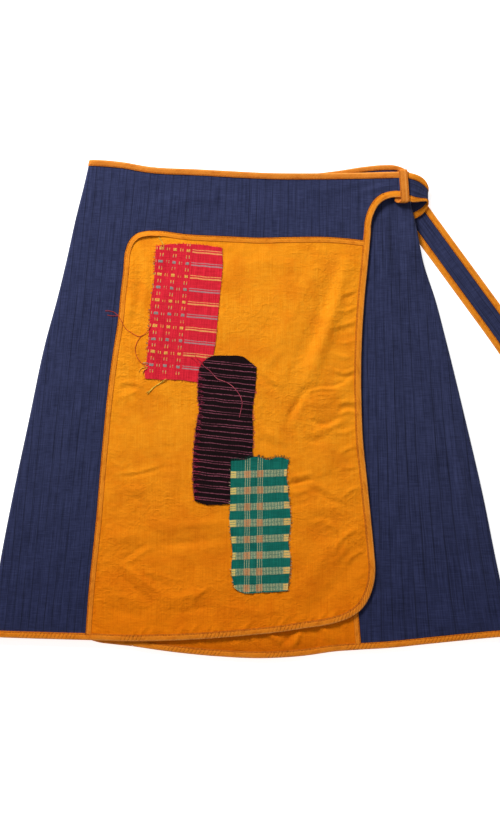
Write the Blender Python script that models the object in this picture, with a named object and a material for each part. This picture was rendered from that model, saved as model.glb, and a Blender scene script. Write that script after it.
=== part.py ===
"""Wrap mini skirt laid flat, front up, with its tie drawn through the belt loop and folded back.

Each piece is drawn in plan, as a maker would chalk it on the laid skirt: x runs to the right, y from the hem up to
the waist, and the third number is the height over the underside of its own layer. The flat piece is then put in its
place: a layer knows how high it lies and how it rolls round the side folds, and the tie knows how it is folded.
All numbers are metres.
"""

import math

import bmesh
import bpy
import numpy as np

# Cloth and sewing sizes
CLOTH = 0.0012
BINDING = 0.0022
TAPE = 0.0010
PATCH = 0.0010
SEAM = 0.0003
BOUND_WIDTH = 0.0070
WAIST_WIDTH = 0.0066
BACK_WAIST_WIDTH = 0.0055
TAPE_WIDTH = 0.0056

# Heights of the layers' undersides over the surface that the skirt lies on
UNDERLAP_HEIGHT = 0.0025
OVERLAP_HEIGHT = 0.0053
# The underlap springs up a little beside its side fold
FOLD_SPRING = 0.0015
FOLD_SPRING_REACH = (0.030, 0.005)

# The corner at the tie: the skirt rides over the folded tie, and the overlap climbs over the belt loop's rear half
TIE_BENEATH = ((0.1700, 0.4860), (0.1725, 0.4480))
TIE_LIFT = 0.0038
TIE_LIFT_FLAT = 0.0100
TIE_LIFT_REACH = 0.0600
LOOP_LIFT = 0.0027
LOOP_CLIMB_START = (0.105, 0.430)
LOOP_CLIMB_LENGTH = 0.045

# The tie; its pinch in the first fold is told in lengths of TIE_TO_FOLD
TIE_WIDTH = 0.0310
TIE_STRIP = 0.0010
TIE_BINDING = 0.0016
TIE_BOUND = 0.0066
TIE_START = (0.1588, 0.4968)
TIE_HEADING = math.radians(-14)
TIE_FIRST_BEND = math.radians(-10)
TIE_LAST_BEND = math.radians(-12)
TIE_TO_FOLD = 0.0240
TIE_HANGS_FROM = 0.2000
TIE_DESCENT = 0.0140
TIE_SLANTS = (0.20, 0.80)
TIE_LENGTH = 0.4700
TIE_LOOP_PINCH = 0.08
TIE_FOLD_PINCH = {"depth": 0.54, "middle": 1.33, "spread": 0.42}
# Each fold line: a point on it, its angle, the fold's radius, and the angle at which the tie's middle crosses it
TIE_FOLD_1 = {"point": (0.1840, 0.4858), "angle": math.radians(-90), "radius": 0.0030, "crossing": math.radians(66)}
TIE_FOLD_2 = {"point": (0.1695, 0.4769), "angle": math.radians(-104.9), "radius": 0.00095,
              "crossing": math.radians(51)}
TIE_SQUARE_AGAIN = 0.0500
TIE_ROUNDING = 0.0010

# The belt loop
LOOP_WIDTH = 0.0092
LOOP_CLOTH = 0.0012
LOOP_TOP = 0.5170
LOOP_BOTTOM = 0.4780
LOOP_FRONT_X = (0.1602, 0.1625)
LOOP_REAR_X = (0.1590, 0.1560)

NAVY = (0.045, 0.050, 0.130, 1.0)
MUSTARD = (0.800, 0.330, 0.020, 1.0)
TRIM = (0.720, 0.270, 0.025, 1.0)
RED = (0.560, 0.030, 0.060, 1.0)
BLACK = (0.022, 0.012, 0.020, 1.0)
GREEN = (0.010, 0.220, 0.170, 1.0)

# Outlines in plan, each a list of x, y
LEFT_FOLD = [(-0.2751, 0.0226), (-0.2625, 0.1034), (-0.2504, 0.1664), (-0.2326, 0.2504), (-0.2147, 0.3344),
             (-0.2032, 0.3764), (-0.1930, 0.4184), (-0.1838, 0.4604), (-0.1735, 0.5020), (-0.1687, 0.5235)]
RIGHT_FOLD = [(0.2762, 0.0236), (0.2588, 0.1034), (0.2462, 0.1664), (0.2268, 0.2504), (0.2063, 0.3344),
              (0.1953, 0.3764), (0.1817, 0.4184), (0.1783, 0.4352), (0.1729, 0.4618), (0.1680, 0.4814),
              (0.1668, 0.5120)]
OVERLAP_WAIST = [(-0.1760, 0.5242), (-0.1680, 0.5240), (-0.1339, 0.5213), (-0.1057, 0.5165), (-0.0525, 0.5137),
                 (0.0242, 0.5098), (0.0945, 0.5098), (0.1575, 0.5105)]
UNDERLAP_WAIST = [(-0.1313, 0.5140), (-0.0525, 0.5108), (0.0242, 0.5068), (0.0945, 0.5066), (0.1440, 0.5072),
                  (0.1600, 0.5092), (0.1668, 0.5112), (0.1760, 0.5150)]
BACK_WAIST = [(-0.1760, 0.5242), (-0.1680, 0.5238), (-0.1060, 0.5150), (-0.0525, 0.5119), (0.0242, 0.5077),
              (0.0640, 0.5095), (0.0940, 0.5130), (0.1197, 0.5169), (0.1386, 0.5186), (0.1544, 0.5178),
              (0.1617, 0.5150), (0.1668, 0.5112), (0.1760, 0.5040)]
OVERLAP_HEM = [(-0.2830, 0.0229), (-0.2751, 0.0226), (-0.2205, 0.0207), (-0.1722, 0.0194), (-0.1285, 0.0179),
               (-0.0620, 0.0195), (0.0053, 0.0247), (0.0315, 0.0274), (0.0557, 0.0313)]
OVERLAP_EDGE = [(0.0557, 0.0313), (0.0830, 0.0355), (0.1044, 0.0425), (0.1157, 0.0501), (0.1247, 0.0629),
                (0.1298, 0.0772), (0.1317, 0.0929), (0.1307, 0.1087), (0.1276, 0.1418), (0.1225, 0.1919),
                (0.1187, 0.2294), (0.1171, 0.2714), (0.1168, 0.3029), (0.1176, 0.3344), (0.1202, 0.3764),
                (0.1243, 0.4184), (0.1266, 0.4450), (0.1277, 0.4594), (0.1306, 0.4685), (0.1346, 0.4755),
                (0.1402, 0.4804), (0.1475, 0.4829), (0.1580, 0.4834)]
UNDERLAP_HEM = [(0.2840, 0.0243), (0.2762, 0.0236), (0.2320, 0.0194), (0.1900, 0.0152), (0.1491, 0.0110),
                (0.1155, 0.0089), (0.0872, 0.0068), (0.0578, 0.0026), (0.0063, 0.0000), (-0.0368, 0.0021),
                (-0.0798, 0.0063), (-0.1239, 0.0126)]
UNDERLAP_EDGE = [(-0.1239, 0.0126), (-0.1439, 0.0147), (-0.1596, 0.0168), (-0.1764, 0.0236), (-0.1890, 0.0383),
                 (-0.1943, 0.0614), (-0.1922, 0.0929), (-0.1722, 0.2504), (-0.1533, 0.3764), (-0.1313, 0.5140)]
BACK_HEM = [(-0.2830, 0.0228), (-0.2751, 0.0226), (-0.1720, 0.0220), (-0.0600, 0.0170), (0.0200, 0.0145),
            (0.1000, 0.0145), (0.1900, 0.0188), (0.2762, 0.0236), (0.2840, 0.0242)]
# The outer side of each border tape, from the hem up, round the corner and along the top of the mustard panel
OVERLAP_BORDER = [(-0.1732, 0.0190), (-0.1693, 0.0719), (-0.1620, 0.1418), (-0.1554, 0.2189), (-0.1480, 0.2914),
                  (-0.1439, 0.3212), (-0.1385, 0.3554), (-0.1355, 0.3869), (-0.1330, 0.4069), (-0.1304, 0.4297),
                  (-0.1250, 0.4410), (-0.1183, 0.4464), (-0.1096, 0.4487), (-0.0977, 0.4490), (-0.0656, 0.4453),
                  (-0.0254, 0.4433), (0.0105, 0.4418), (0.0417, 0.4424), (0.0767, 0.4426), (0.0940, 0.4417),
                  (0.1250, 0.4385)]
UNDERLAP_BORDER = [(0.1173, 0.0090), (0.1140, 0.0479), (0.0980, 0.1850), (0.0840, 0.3082), (0.0756, 0.3922),
                   (0.0693, 0.4226), (0.0588, 0.4331), (0.0441, 0.4363), (-0.0525, 0.4363), (-0.1420, 0.4363)]

# Soft folds that stand up from a layer: the route of the crest, its height and how far it spreads
OVERLAP_FOLDS = [
    {"route": [(0.0977, 0.4200), (0.0903, 0.3900), (0.0788, 0.3490), (0.0650, 0.3150), (0.0389, 0.2504)],
     "height": 0.0022, "spread": 0.0085},
    {"route": [(0.0630, 0.3130), (0.0860, 0.2860), (0.1100, 0.2640)], "height": 0.0014, "spread": 0.0070},
    {"route": [(-0.1355, 0.1118), (-0.1155, 0.0719), (-0.0756, 0.0614), (-0.0346, 0.0750)],
     "height": 0.0016, "spread": 0.0080},
]
UNDERLAP_FOLDS = [
    {"route": [(0.2140, 0.2500), (0.2300, 0.1500), (0.2500, 0.0400)], "height": 0.0016, "spread": 0.0065},
]
FOLD_CLEARANCE = 0.012

# Where the pieces of the overlap meet, read off its outlines
OVERLAP_CORNER_Y = 0.4430
OVERLAP_BORDER_FOOT_X = -0.1700
OVERLAP_YOKE_END_Y = 0.4360
OVERLAP_YOKE_LEAN = 0.0040
OVERLAP_TAPER_X = 0.0850
OVERLAP_TAPER_TIP_X = 0.1570
OVERLAP_TAPER_TIP_SHARE = 0.985
OVERLAP_HEM_END_X = 0.0530
OVERLAP_ROUND_X = 0.1010

# Where the pieces of the underlap meet
UNDERLAP_CORNER_Y = 0.4300
UNDERLAP_BORDER_FOOT_X = 0.1160
UNDERLAP_NAVY_FOOT_X = 0.1140
UNDERLAP_YOKE_BEND_SHARE = 0.985
UNDERLAP_YOKE_FOOT_SHARE = 0.994
UNDERLAP_TAPE_END_SHARE = 0.965
UNDERLAP_WAIST_END_X = -0.1215
UNDERLAP_WAIST_BINDING_X = -0.1227
UNDERLAP_HEM_END_X = -0.1160
UNDERLAP_ROUND_X = -0.1790

# Steps of the cloth where it rolls round a side fold, about where the roll ends at the hem and at the waist,
# and the closest that two stations of a binding lie
ROLL_STEPS = 3
ROLL_BOTTOM_Y = 0.030
ROLL_TOP_Y = 0.505
CLOSEST_SHARES = 0.0015
# A binding is cut along a side fold within this reach of it; its outer tenth and more is rounded off
SLANT_REACH = 0.040
ROUNDED_FROM = 0.14
ROUNDED_BY = 0.30

# Patches, each with its corners from the lower left round to the upper left
PATCHES = {
    "patch_red": {"corners": [(-0.1090, 0.2945), (-0.0415, 0.2910), (-0.0295, 0.4310), (-0.0985, 0.4330)],
                  "round": 0.0010, "colour": RED, "over": None},
    "patch_black": {"corners": [(-0.0590, 0.1640), (0.0010, 0.1615), (0.0055, 0.3150), (-0.0535, 0.3165)],
                    "round": 0.0060, "colour": BLACK, "over": "patch_red"},
    "patch_green": {"corners": [(-0.0190, 0.0715), (0.0405, 0.0715), (0.0410, 0.2085), (-0.0200, 0.2085)],
                    "round": 0.0025, "colour": GREEN, "over": "patch_black"},
}
PATCH_RAMP = 0.020


# Curves in plan: each is a function that turns shares of its length, 0 to 1, into points


def through(points):
    """The curve of straight steps through many points."""
    points = np.asarray(points, float)
    lengths = np.concatenate([[0.0], np.cumsum(np.linalg.norm(np.diff(points, axis=0), axis=1))])

    def curve(shares):
        places = np.asarray(shares, float) * lengths[-1]
        return np.stack([np.interp(places, lengths, points[:, k]) for k in (0, 1)], axis=-1)

    return curve


def smooth(points, steps=12):
    """The soft curve through a few points: a cubic between each two, with slopes weighed by their distances."""
    points = np.asarray(points, float)
    spans = np.linalg.norm(np.diff(points, axis=0), axis=1)[:, None]
    slopes = np.diff(points, axis=0) / spans
    inner = (slopes[:-1] * spans[1:] + slopes[1:] * spans[:-1]) / (spans[:-1] + spans[1:])
    ways = np.concatenate([slopes[:1], inner, slopes[-1:]])
    along = []
    for start, end, way, next_way, span in zip(points, points[1:], ways, ways[1:], spans):
        for t in np.arange(steps) / steps:
            along.append((1 + 2 * t) * (1 - t) ** 2 * start + t * (1 - t) ** 2 * span * way
                         + t * t * (3 - 2 * t) * end + t * t * (t - 1) * span * next_way)
    return through([*along, points[-1]])


def joined(*curves):
    """Several curves end to end as one."""
    return through(np.concatenate([curve(np.linspace(0, 1, 80)) for curve in curves]))


def part_of(curve, start, end):
    return lambda shares: curve(start + (end - start) * np.asarray(shares, float))


def backwards(curve):
    return part_of(curve, 1, 0)


def line(start, end):
    return through([start, end])


def beside(curve, distance):
    """The curve moved sideways, to the left of its direction for a positive distance."""
    shares = np.linspace(0, 1, 240)
    step = 0.002
    ahead, behind = curve(np.minimum(shares + step, 1)), curve(np.maximum(shares - step, 0))
    way = ahead - behind
    way /= np.linalg.norm(way, axis=1, keepdims=True)
    return through(curve(shares) + distance * np.stack([-way[:, 1], way[:, 0]], axis=1))


def share_at(curve, axis, value):
    """How far along a curve it first reaches this x (axis 0) or y (axis 1)."""
    shares = np.linspace(0, 1, 1200)
    past = curve(shares)[:, axis] - value
    crossings = np.nonzero(np.sign(past[:-1]) != np.sign(past[1:]))[0]
    if not len(crossings):
        return float(shares[np.abs(past).argmin()])
    first = crossings[0]
    return float(shares[first] + (shares[1] - shares[0]) * past[first] / (past[first] - past[first + 1]))


def height_at(curve, x):
    return float(curve(share_at(curve, 0, x))[1])


def ramp(value):
    """From 0 to 1 with soft ends."""
    value = np.clip(value, 0, 1)
    return value * value * (3 - 2 * value)


def distance_to(route, x, y):
    """How far a point is from a route of straight steps, and how far along the route it is nearest (0 to 1)."""
    route = np.asarray(route, float)
    best, share = math.inf, 0.0
    for number, (start, end) in enumerate(zip(route, route[1:])):
        way = end - start
        along = min(max(float(np.dot((x, y) - start, way) / np.dot(way, way)), 0.0), 1.0)
        away = float(np.linalg.norm(start + along * way - (x, y)))
        if away < best:
            best, share = away, (number + along) / (len(route) - 1)
    return best, share


# The layers of the laid skirt

FOLDS = {-1: smooth(LEFT_FOLD), 1: smooth(RIGHT_FOLD)}
FOLD_TABLES = {side: curve(np.linspace(0, 1, 400)) for side, curve in FOLDS.items()}


def fold_x(side, y):
    """Where the side fold is widest, at a height on the skirt."""
    table = FOLD_TABLES[side]
    return float(np.interp(y, table[:, 1], table[:, 0]))


def tie_lift(x, y):
    away, _ = distance_to(TIE_BENEATH, x, y)
    return TIE_LIFT * float(ramp(1 - (away - TIE_LIFT_FLAT) / TIE_LIFT_REACH))


def crests(folds, x, y):
    """The height of the soft folds at a point; they die away at their ends and beside the side folds."""
    height = 0.0
    for fold in folds:
        away, share = distance_to(fold["route"], x, y)
        height += fold["height"] * math.exp(-(away / fold["spread"]) ** 2) * math.sin(math.pi * share) ** 0.7
    edge = min(x - fold_x(-1, y), fold_x(1, y) - x)
    return height * float(ramp(edge / FOLD_CLEARANCE - 0.5))


def back_height(x, y):
    return tie_lift(x, y)


def underlap_height(x, y):
    start, end = FOLD_SPRING_REACH
    spring = FOLD_SPRING * float(ramp((x - fold_x(1, y) + start) / (start - end)))
    return UNDERLAP_HEIGHT + spring + tie_lift(x, y) + crests(UNDERLAP_FOLDS, x, y)


def overlap_height(x, y):
    from_left, from_below = ramp((np.array([x, y]) - LOOP_CLIMB_START) / LOOP_CLIMB_LENGTH)
    climb = LOOP_LIFT * float(from_left * from_below)
    return OVERLAP_HEIGHT + climb + tie_lift(x, y) + crests(OVERLAP_FOLDS, x, y)


LEFT_RADIUS = OVERLAP_HEIGHT / 2
RIGHT_RADIUS = (UNDERLAP_HEIGHT + FOLD_SPRING) / 2
BACK = {"height": back_height, "rolls": {-1: LEFT_RADIUS, 1: RIGHT_RADIUS}, "outside": -1}
UNDERLAP = {"height": underlap_height, "rolls": {1: RIGHT_RADIUS}, "outside": 1}
OVERLAP = {"height": overlap_height, "rolls": {-1: LEFT_RADIUS}, "outside": 1}


def turn_x(side, radius, y):
    """Where the flat cloth starts to roll round a side fold."""
    return fold_x(side, y) - side * (radius + CLOTH / 2)


def roll_length(radius):
    """The cloth on a quarter roll, up to the side seam."""
    return radius * math.pi / 2 - SEAM / 2


def on_layer(layer, bound=False):
    """Puts a point of a flat piece on its layer; bound pieces are centred on the panel's edge in the roll."""
    overhang = (BINDING - CLOTH) / 2 if bound else 0.0

    def place(x, y, lift):
        for side, radius in layer["rolls"].items():
            turn = turn_x(side, radius, y)
            angle = side * (x - turn) / radius
            if angle > 0:
                middle = layer["height"](turn, y) + CLOTH / 2
                outside = layer["outside"]
                reach = radius + outside * (lift - CLOTH / 2) - overhang * math.sin(min(angle, math.pi / 2)) * outside
                return (turn + side * reach * math.sin(angle), y,
                        middle - outside * radius + outside * reach * math.cos(angle))
        return x, y, layer["height"](x, y) + lift

    return place


# Flat pieces


def block(left, right, bottom, top, across, up, low=0.0, high=CLOTH):
    """A four-sided stretch of cloth as rows and columns of points; its sides run to the right or up."""
    across = np.linspace(0, 1, across + 1) if np.isscalar(across) else np.asarray(across, float)
    up = np.linspace(0, 1, up + 1) if np.isscalar(up) else np.asarray(up, float)
    u, v = across[None, :, None], up[:, None, None]
    sides = left(up)[:, None], right(up)[:, None]
    ends = bottom(across)[None], top(across)[None]
    corners = [np.asarray(ends[k][0, j]) for k, j in ((0, 0), (0, -1), (1, 0), (1, -1))]
    plan = (1 - u) * sides[0] + u * sides[1] + (1 - v) * ends[0] + v * ends[1]
    plan = plan - ((1 - u) * (1 - v) * corners[0] + u * (1 - v) * corners[1]
                   + (1 - u) * v * corners[2] + u * v * corners[3])
    return {"plan": plan, "low": np.full(plan.shape[:2], low), "high": np.full(plan.shape[:2], high)}


def ribbon(edge, width, stations, thick, low=0.0, rounded=True, rolls=()):
    """A strip beside an edge: its outer side is the edge itself, and its inner side lies to the left of it.

    Beside a side fold it is cut along the fold and not square to its edge.
    """
    shares = np.linspace(0, 1, stations + 1) if np.isscalar(stations) else np.asarray(stations, float)
    across = np.array([1.0, ROUNDED_FROM, 0.0]) if rounded else np.array([1.0, 0.0])
    plan = np.stack([beside(edge, width * way)(shares) for way in across], axis=1)
    for side in rolls:
        for row in plan:
            outer = row[-1].copy()
            near = float(ramp(1 - abs(outer[0] - fold_x(side, outer[1])) / SLANT_REACH))
            for point in row:
                slanted = outer[0] + fold_x(side, point[1]) - fold_x(side, outer[1])
                point[0] += near * (slanted - point[0])
    low = np.full(plan.shape[:2], low)
    high = low + thick
    if rounded:
        low[:, -1] += ROUNDED_BY * thick
        high[:, -1] -= ROUNDED_BY * thick
    return {"plan": plan, "low": low, "high": high}


def material(name, colour, roughness):
    made = bpy.data.materials.new(name)
    made.use_nodes = True
    shader = made.node_tree.nodes["Principled BSDF"]
    shader.inputs["Base Color"].default_value = colour
    shader.inputs["Roughness"].default_value = roughness
    shader.inputs["Metallic"].default_value = 0.0
    made.diffuse_color = colour
    return made


def sewn(name, colour, blocks, place, parent):
    """One piece: its flat blocks joined and given their thickness, then each point put in its place."""
    mesh = bmesh.new()
    low, high = mesh.verts.layers.float.new("low"), mesh.verts.layers.float.new("high")
    for each in blocks:
        rows, columns = each["plan"].shape[:2]
        grid = bmesh.ops.create_grid(mesh, x_segments=columns - 1, y_segments=rows - 1, size=0.5)["verts"]
        for corner in grid:
            row = round((corner.co.y + 0.5) * (rows - 1))
            column = round((corner.co.x + 0.5) * (columns - 1))
            corner.co = (*each["plan"][row, column], 0)
            corner[low], corner[high] = each["low"][row, column], each["high"][row, column]
    bmesh.ops.remove_doubles(mesh, verts=mesh.verts, dist=1e-5)
    under = set(mesh.verts)
    bmesh.ops.extrude_face_region(mesh, geom=mesh.faces[:], use_keep_orig=True)
    for corner in mesh.verts:
        lift = corner[low] if corner in under else corner[high]
        corner.co = place(corner.co.x, corner.co.y, lift)
    bmesh.ops.recalc_face_normals(mesh, faces=mesh.faces)
    return finished(name, colour, mesh, parent)


def finished(name, colour, mesh, parent):
    data = bpy.data.meshes.new(name)
    mesh.to_mesh(data)
    mesh.free()
    data.shade_smooth()
    data.set_sharp_from_angle(angle=math.radians(50))
    data.materials.append(material(name, colour, 0.85))
    made = bpy.data.objects.new(name, data)
    bpy.context.collection.objects.link(made)
    made.parent = parent
    return made


# Side seams, hems and the pieces themselves


def seam_x(side, radius, y):
    """Where the side seam would lie if the roll were opened flat."""
    return turn_x(side, radius, y) + side * roll_length(radius)


def roll_span(side, radius, hem, waist):
    """The lowest and highest point of the cloth that rolls round a side fold, clear of the bindings."""
    low = [height_at(hem, where(side, radius, ROLL_BOTTOM_Y)) for where in (turn_x, seam_x)]
    high = [height_at(waist, where(side, radius, ROLL_TOP_Y)) for where in (turn_x, seam_x)]
    return max(low), min(high)


def roll_block(side, radius, span, heights):
    """The cloth that rolls round a side fold, from one height to another, and the line where its roll starts."""
    rows = np.linspace(*span, 60)
    turn, seam = (through([(where(side, radius, y), y) for y in rows]) for where in (turn_x, seam_x))
    left, right = (seam, turn) if side < 0 else (turn, seam)
    return block(left, right, line(left(0), right(0)), line(left(1), right(1)), ROLL_STEPS, heights), turn


def piece_between(curve, start_x, end_x):
    return part_of(curve, share_at(curve, 0, start_x), share_at(curve, 0, end_x))


def point_at(curve, axis, value):
    return curve(share_at(curve, axis, value))


def roll_stations(curve, rolls, steps):
    """Shares along an edge: close together where it rolls round a side fold, and even between."""
    shares = [np.linspace(0, 1, steps + 1)]
    for side, radius in rolls.items():
        end = curve(0.0 if side < 0 else 1.0)
        turn = turn_x(side, radius, end[1])
        share = share_at(curve, 0, turn)
        shares.append(np.linspace(0, share, ROLL_STEPS + 1) if side < 0 else np.linspace(share, 1, ROLL_STEPS + 1))
    keep = [0.0]
    for share in np.unique(np.concatenate(shares).round(6)):
        if share - keep[-1] > CLOSEST_SHARES:
            keep.append(float(share))
    keep[-1] = 1.0
    return np.array(keep)


def edge_to_fold(curve, rolls):
    """An edge cut at the side seams."""
    start, end = 0.0, 1.0
    for side, radius in rolls.items():
        near = curve(0.05 if side < 0 else 0.95)
        share = share_at(curve, 0, seam_x(side, radius, near[1]))
        start, end = (share, end) if side < 0 else (start, share)
    return part_of(curve, start, end)


def hem_ribbon(hem, rolls, steps):
    return ribbon(hem, BOUND_WIDTH, roll_stations(hem, rolls, steps), BINDING, rolls=rolls)


def waist_ribbon(waist, width, rolls, steps):
    """The binding of a waist edge; the edge is followed from right to left, so that the binding lies below it."""
    stations = 1 - roll_stations(waist, rolls, steps)[::-1]
    return ribbon(backwards(waist), width, stations, BINDING, rolls=rolls)


def back_pieces(parent):
    rolls = BACK["rolls"]
    hem = edge_to_fold(smooth(BACK_HEM), rolls)
    waist = edge_to_fold(smooth(BACK_WAIST), rolls)
    inner_hem = beside(hem, BOUND_WIDTH + SEAM)
    inner_waist = beside(waist, -(BACK_WAIST_WIDTH + 1.5 * SEAM))
    rows = np.concatenate([np.linspace(0, 0.76, 9), np.linspace(0.80, 1, 8)])
    columns = np.concatenate([np.linspace(0, 0.72, 15), np.linspace(0.76, 1, 8)])
    left, left_turn = roll_block(-1, LEFT_RADIUS, roll_span(-1, LEFT_RADIUS, inner_hem, inner_waist), rows)
    right, right_turn = roll_block(1, RIGHT_RADIUS, roll_span(1, RIGHT_RADIUS, inner_hem, inner_waist), rows)
    middle = block(left_turn, right_turn,
                   piece_between(inner_hem, left_turn(0)[0], right_turn(0)[0]),
                   piece_between(inner_waist, left_turn(1)[0], right_turn(1)[0]), columns, rows)
    sewn("back_panel", NAVY, [left, middle, right], on_layer(BACK), parent)
    bound = on_layer(BACK, True)
    sewn("back_hem_binding", TRIM, [hem_ribbon(hem, rolls, 18)], bound, parent)
    sewn("back_waist_binding", TRIM, [waist_ribbon(waist, BACK_WAIST_WIDTH, rolls, 30)], bound, parent)


def overlap_pieces(parent):
    place, bound = on_layer(OVERLAP), on_layer(OVERLAP, True)
    rolls = OVERLAP["rolls"]
    hem = edge_to_fold(smooth(OVERLAP_HEM), rolls)
    edge = smooth(OVERLAP_EDGE)
    waist = edge_to_fold(smooth(OVERLAP_WAIST), rolls)
    border = smooth(OVERLAP_BORDER)
    inner_hem = beside(joined(hem, edge), BOUND_WIDTH + SEAM)
    inner_edge = beside(edge, BOUND_WIDTH + SEAM)
    inner_waist = beside(waist, -(WAIST_WIDTH + SEAM))
    navy_side, mustard_side = (beside(border, -(TAPE_WIDTH + gap) / 2) for gap in (-SEAM, SEAM))
    foot_y = height_at(inner_hem, OVERLAP_BORDER_FOOT_X)
    lower_rows = np.concatenate([np.linspace(0, 0.24, 8), np.linspace(0.31, 1, 10)])
    upper_rows = np.linspace(0, 1, 6)
    columns = np.concatenate([np.linspace(0, 0.80, 11), np.linspace(0.84, 1, 5)])

    # Navy: the side, the corner of the yoke, the yoke, and its taper into the tie
    corner_share = share_at(navy_side, 1, OVERLAP_CORNER_Y)
    corner = navy_side(corner_share)
    leg = part_of(navy_side, share_at(navy_side, 1, foot_y), corner_share)
    bottom, top = roll_span(-1, LEFT_RADIUS, inner_hem, inner_waist)
    level = corner[1] + OVERLAP_YOKE_LEAN
    lower_roll, lower_turn = roll_block(-1, LEFT_RADIUS, (bottom, level), lower_rows)
    upper_roll, upper_turn = roll_block(-1, LEFT_RADIUS, (level, top), upper_rows)
    post = line(corner, point_at(inner_waist, 0, corner[0] + OVERLAP_YOKE_LEAN))
    across = line(lower_turn(1), corner)
    lower_side = block(lower_turn, leg, piece_between(inner_hem, lower_turn(0)[0], leg(0)[0]), across, 4, lower_rows)
    upper_side = block(upper_turn, post, across, piece_between(inner_waist, upper_turn(1)[0], post(1)[0]), 4,
                       upper_rows)
    yoke_end = share_at(navy_side, 0, point_at(inner_edge, 1, OVERLAP_YOKE_END_Y)[0] - SEAM)
    free_top = part_of(inner_edge, share_at(inner_edge, 1, navy_side(yoke_end)[1]), 1.0)
    split = line(free_top(0), point_at(inner_waist, 0, OVERLAP_TAPER_X))
    yoke = block(post, split, part_of(navy_side, corner_share, yoke_end),
                 piece_between(inner_waist, post(1)[0], split(1)[0]), columns, upper_rows)
    tip = free_top(OVERLAP_TAPER_TIP_SHARE)
    end = line(tip, point_at(inner_waist, 0, min(tip[0], OVERLAP_TAPER_TIP_X)))
    taper = block(split, end, part_of(free_top, 0, OVERLAP_TAPER_TIP_SHARE),
                  piece_between(inner_waist, split(1)[0], end(1)[0]), 12, upper_rows)
    sewn("overlap_navy", NAVY, [lower_roll, upper_roll, lower_side, upper_side, yoke, taper], place, parent)

    # Mustard panel, with its round corner at the free edge
    side = part_of(mustard_side, share_at(navy_side, 1, foot_y), corner_share)
    top_share = share_at(inner_edge, 1, mustard_side(yoke_end)[1])
    near_end = yoke_end - 0.012
    top = joined(part_of(mustard_side, corner_share, near_end), line(mustard_side(near_end), inner_edge(top_share)))
    round_share = share_at(inner_edge, 0, OVERLAP_ROUND_X)
    along_hem = joined(piece_between(beside(hem, BOUND_WIDTH + SEAM), side(0)[0], OVERLAP_HEM_END_X),
                       part_of(inner_edge, 0.004, round_share))
    panel = block(side, part_of(inner_edge, round_share, top_share), along_hem, top, columns, lower_rows)
    sewn("overlap_mustard", MUSTARD, [panel], place, parent)
    tape_line = part_of(border, share_at(border, 1, foot_y), share_at(border, 0, inner_edge(top_share)[0]))
    tape = ribbon(backwards(tape_line), TAPE_WIDTH, 44, TAPE, CLOTH + SEAM, False)
    sewn("overlap_border_tape", TRIM, [tape], place, parent)

    bound_hem = hem_ribbon(part_of(hem, 0, 0.999), rolls, 16)
    sewn("overlap_hem_binding", TRIM, [bound_hem], bound, parent)
    stations = np.concatenate([np.linspace(0, 0.26, 22), np.linspace(0.26, 0.86, 16)[1:],
                               np.linspace(0.86, 1, 16)[1:]])
    sewn("overlap_edge_binding", TRIM, [ribbon(edge, BOUND_WIDTH, stations, BINDING)], bound, parent)
    sewn("overlap_waist_binding", TRIM, [waist_ribbon(waist, WAIST_WIDTH, rolls, 20)], bound, parent)


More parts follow.
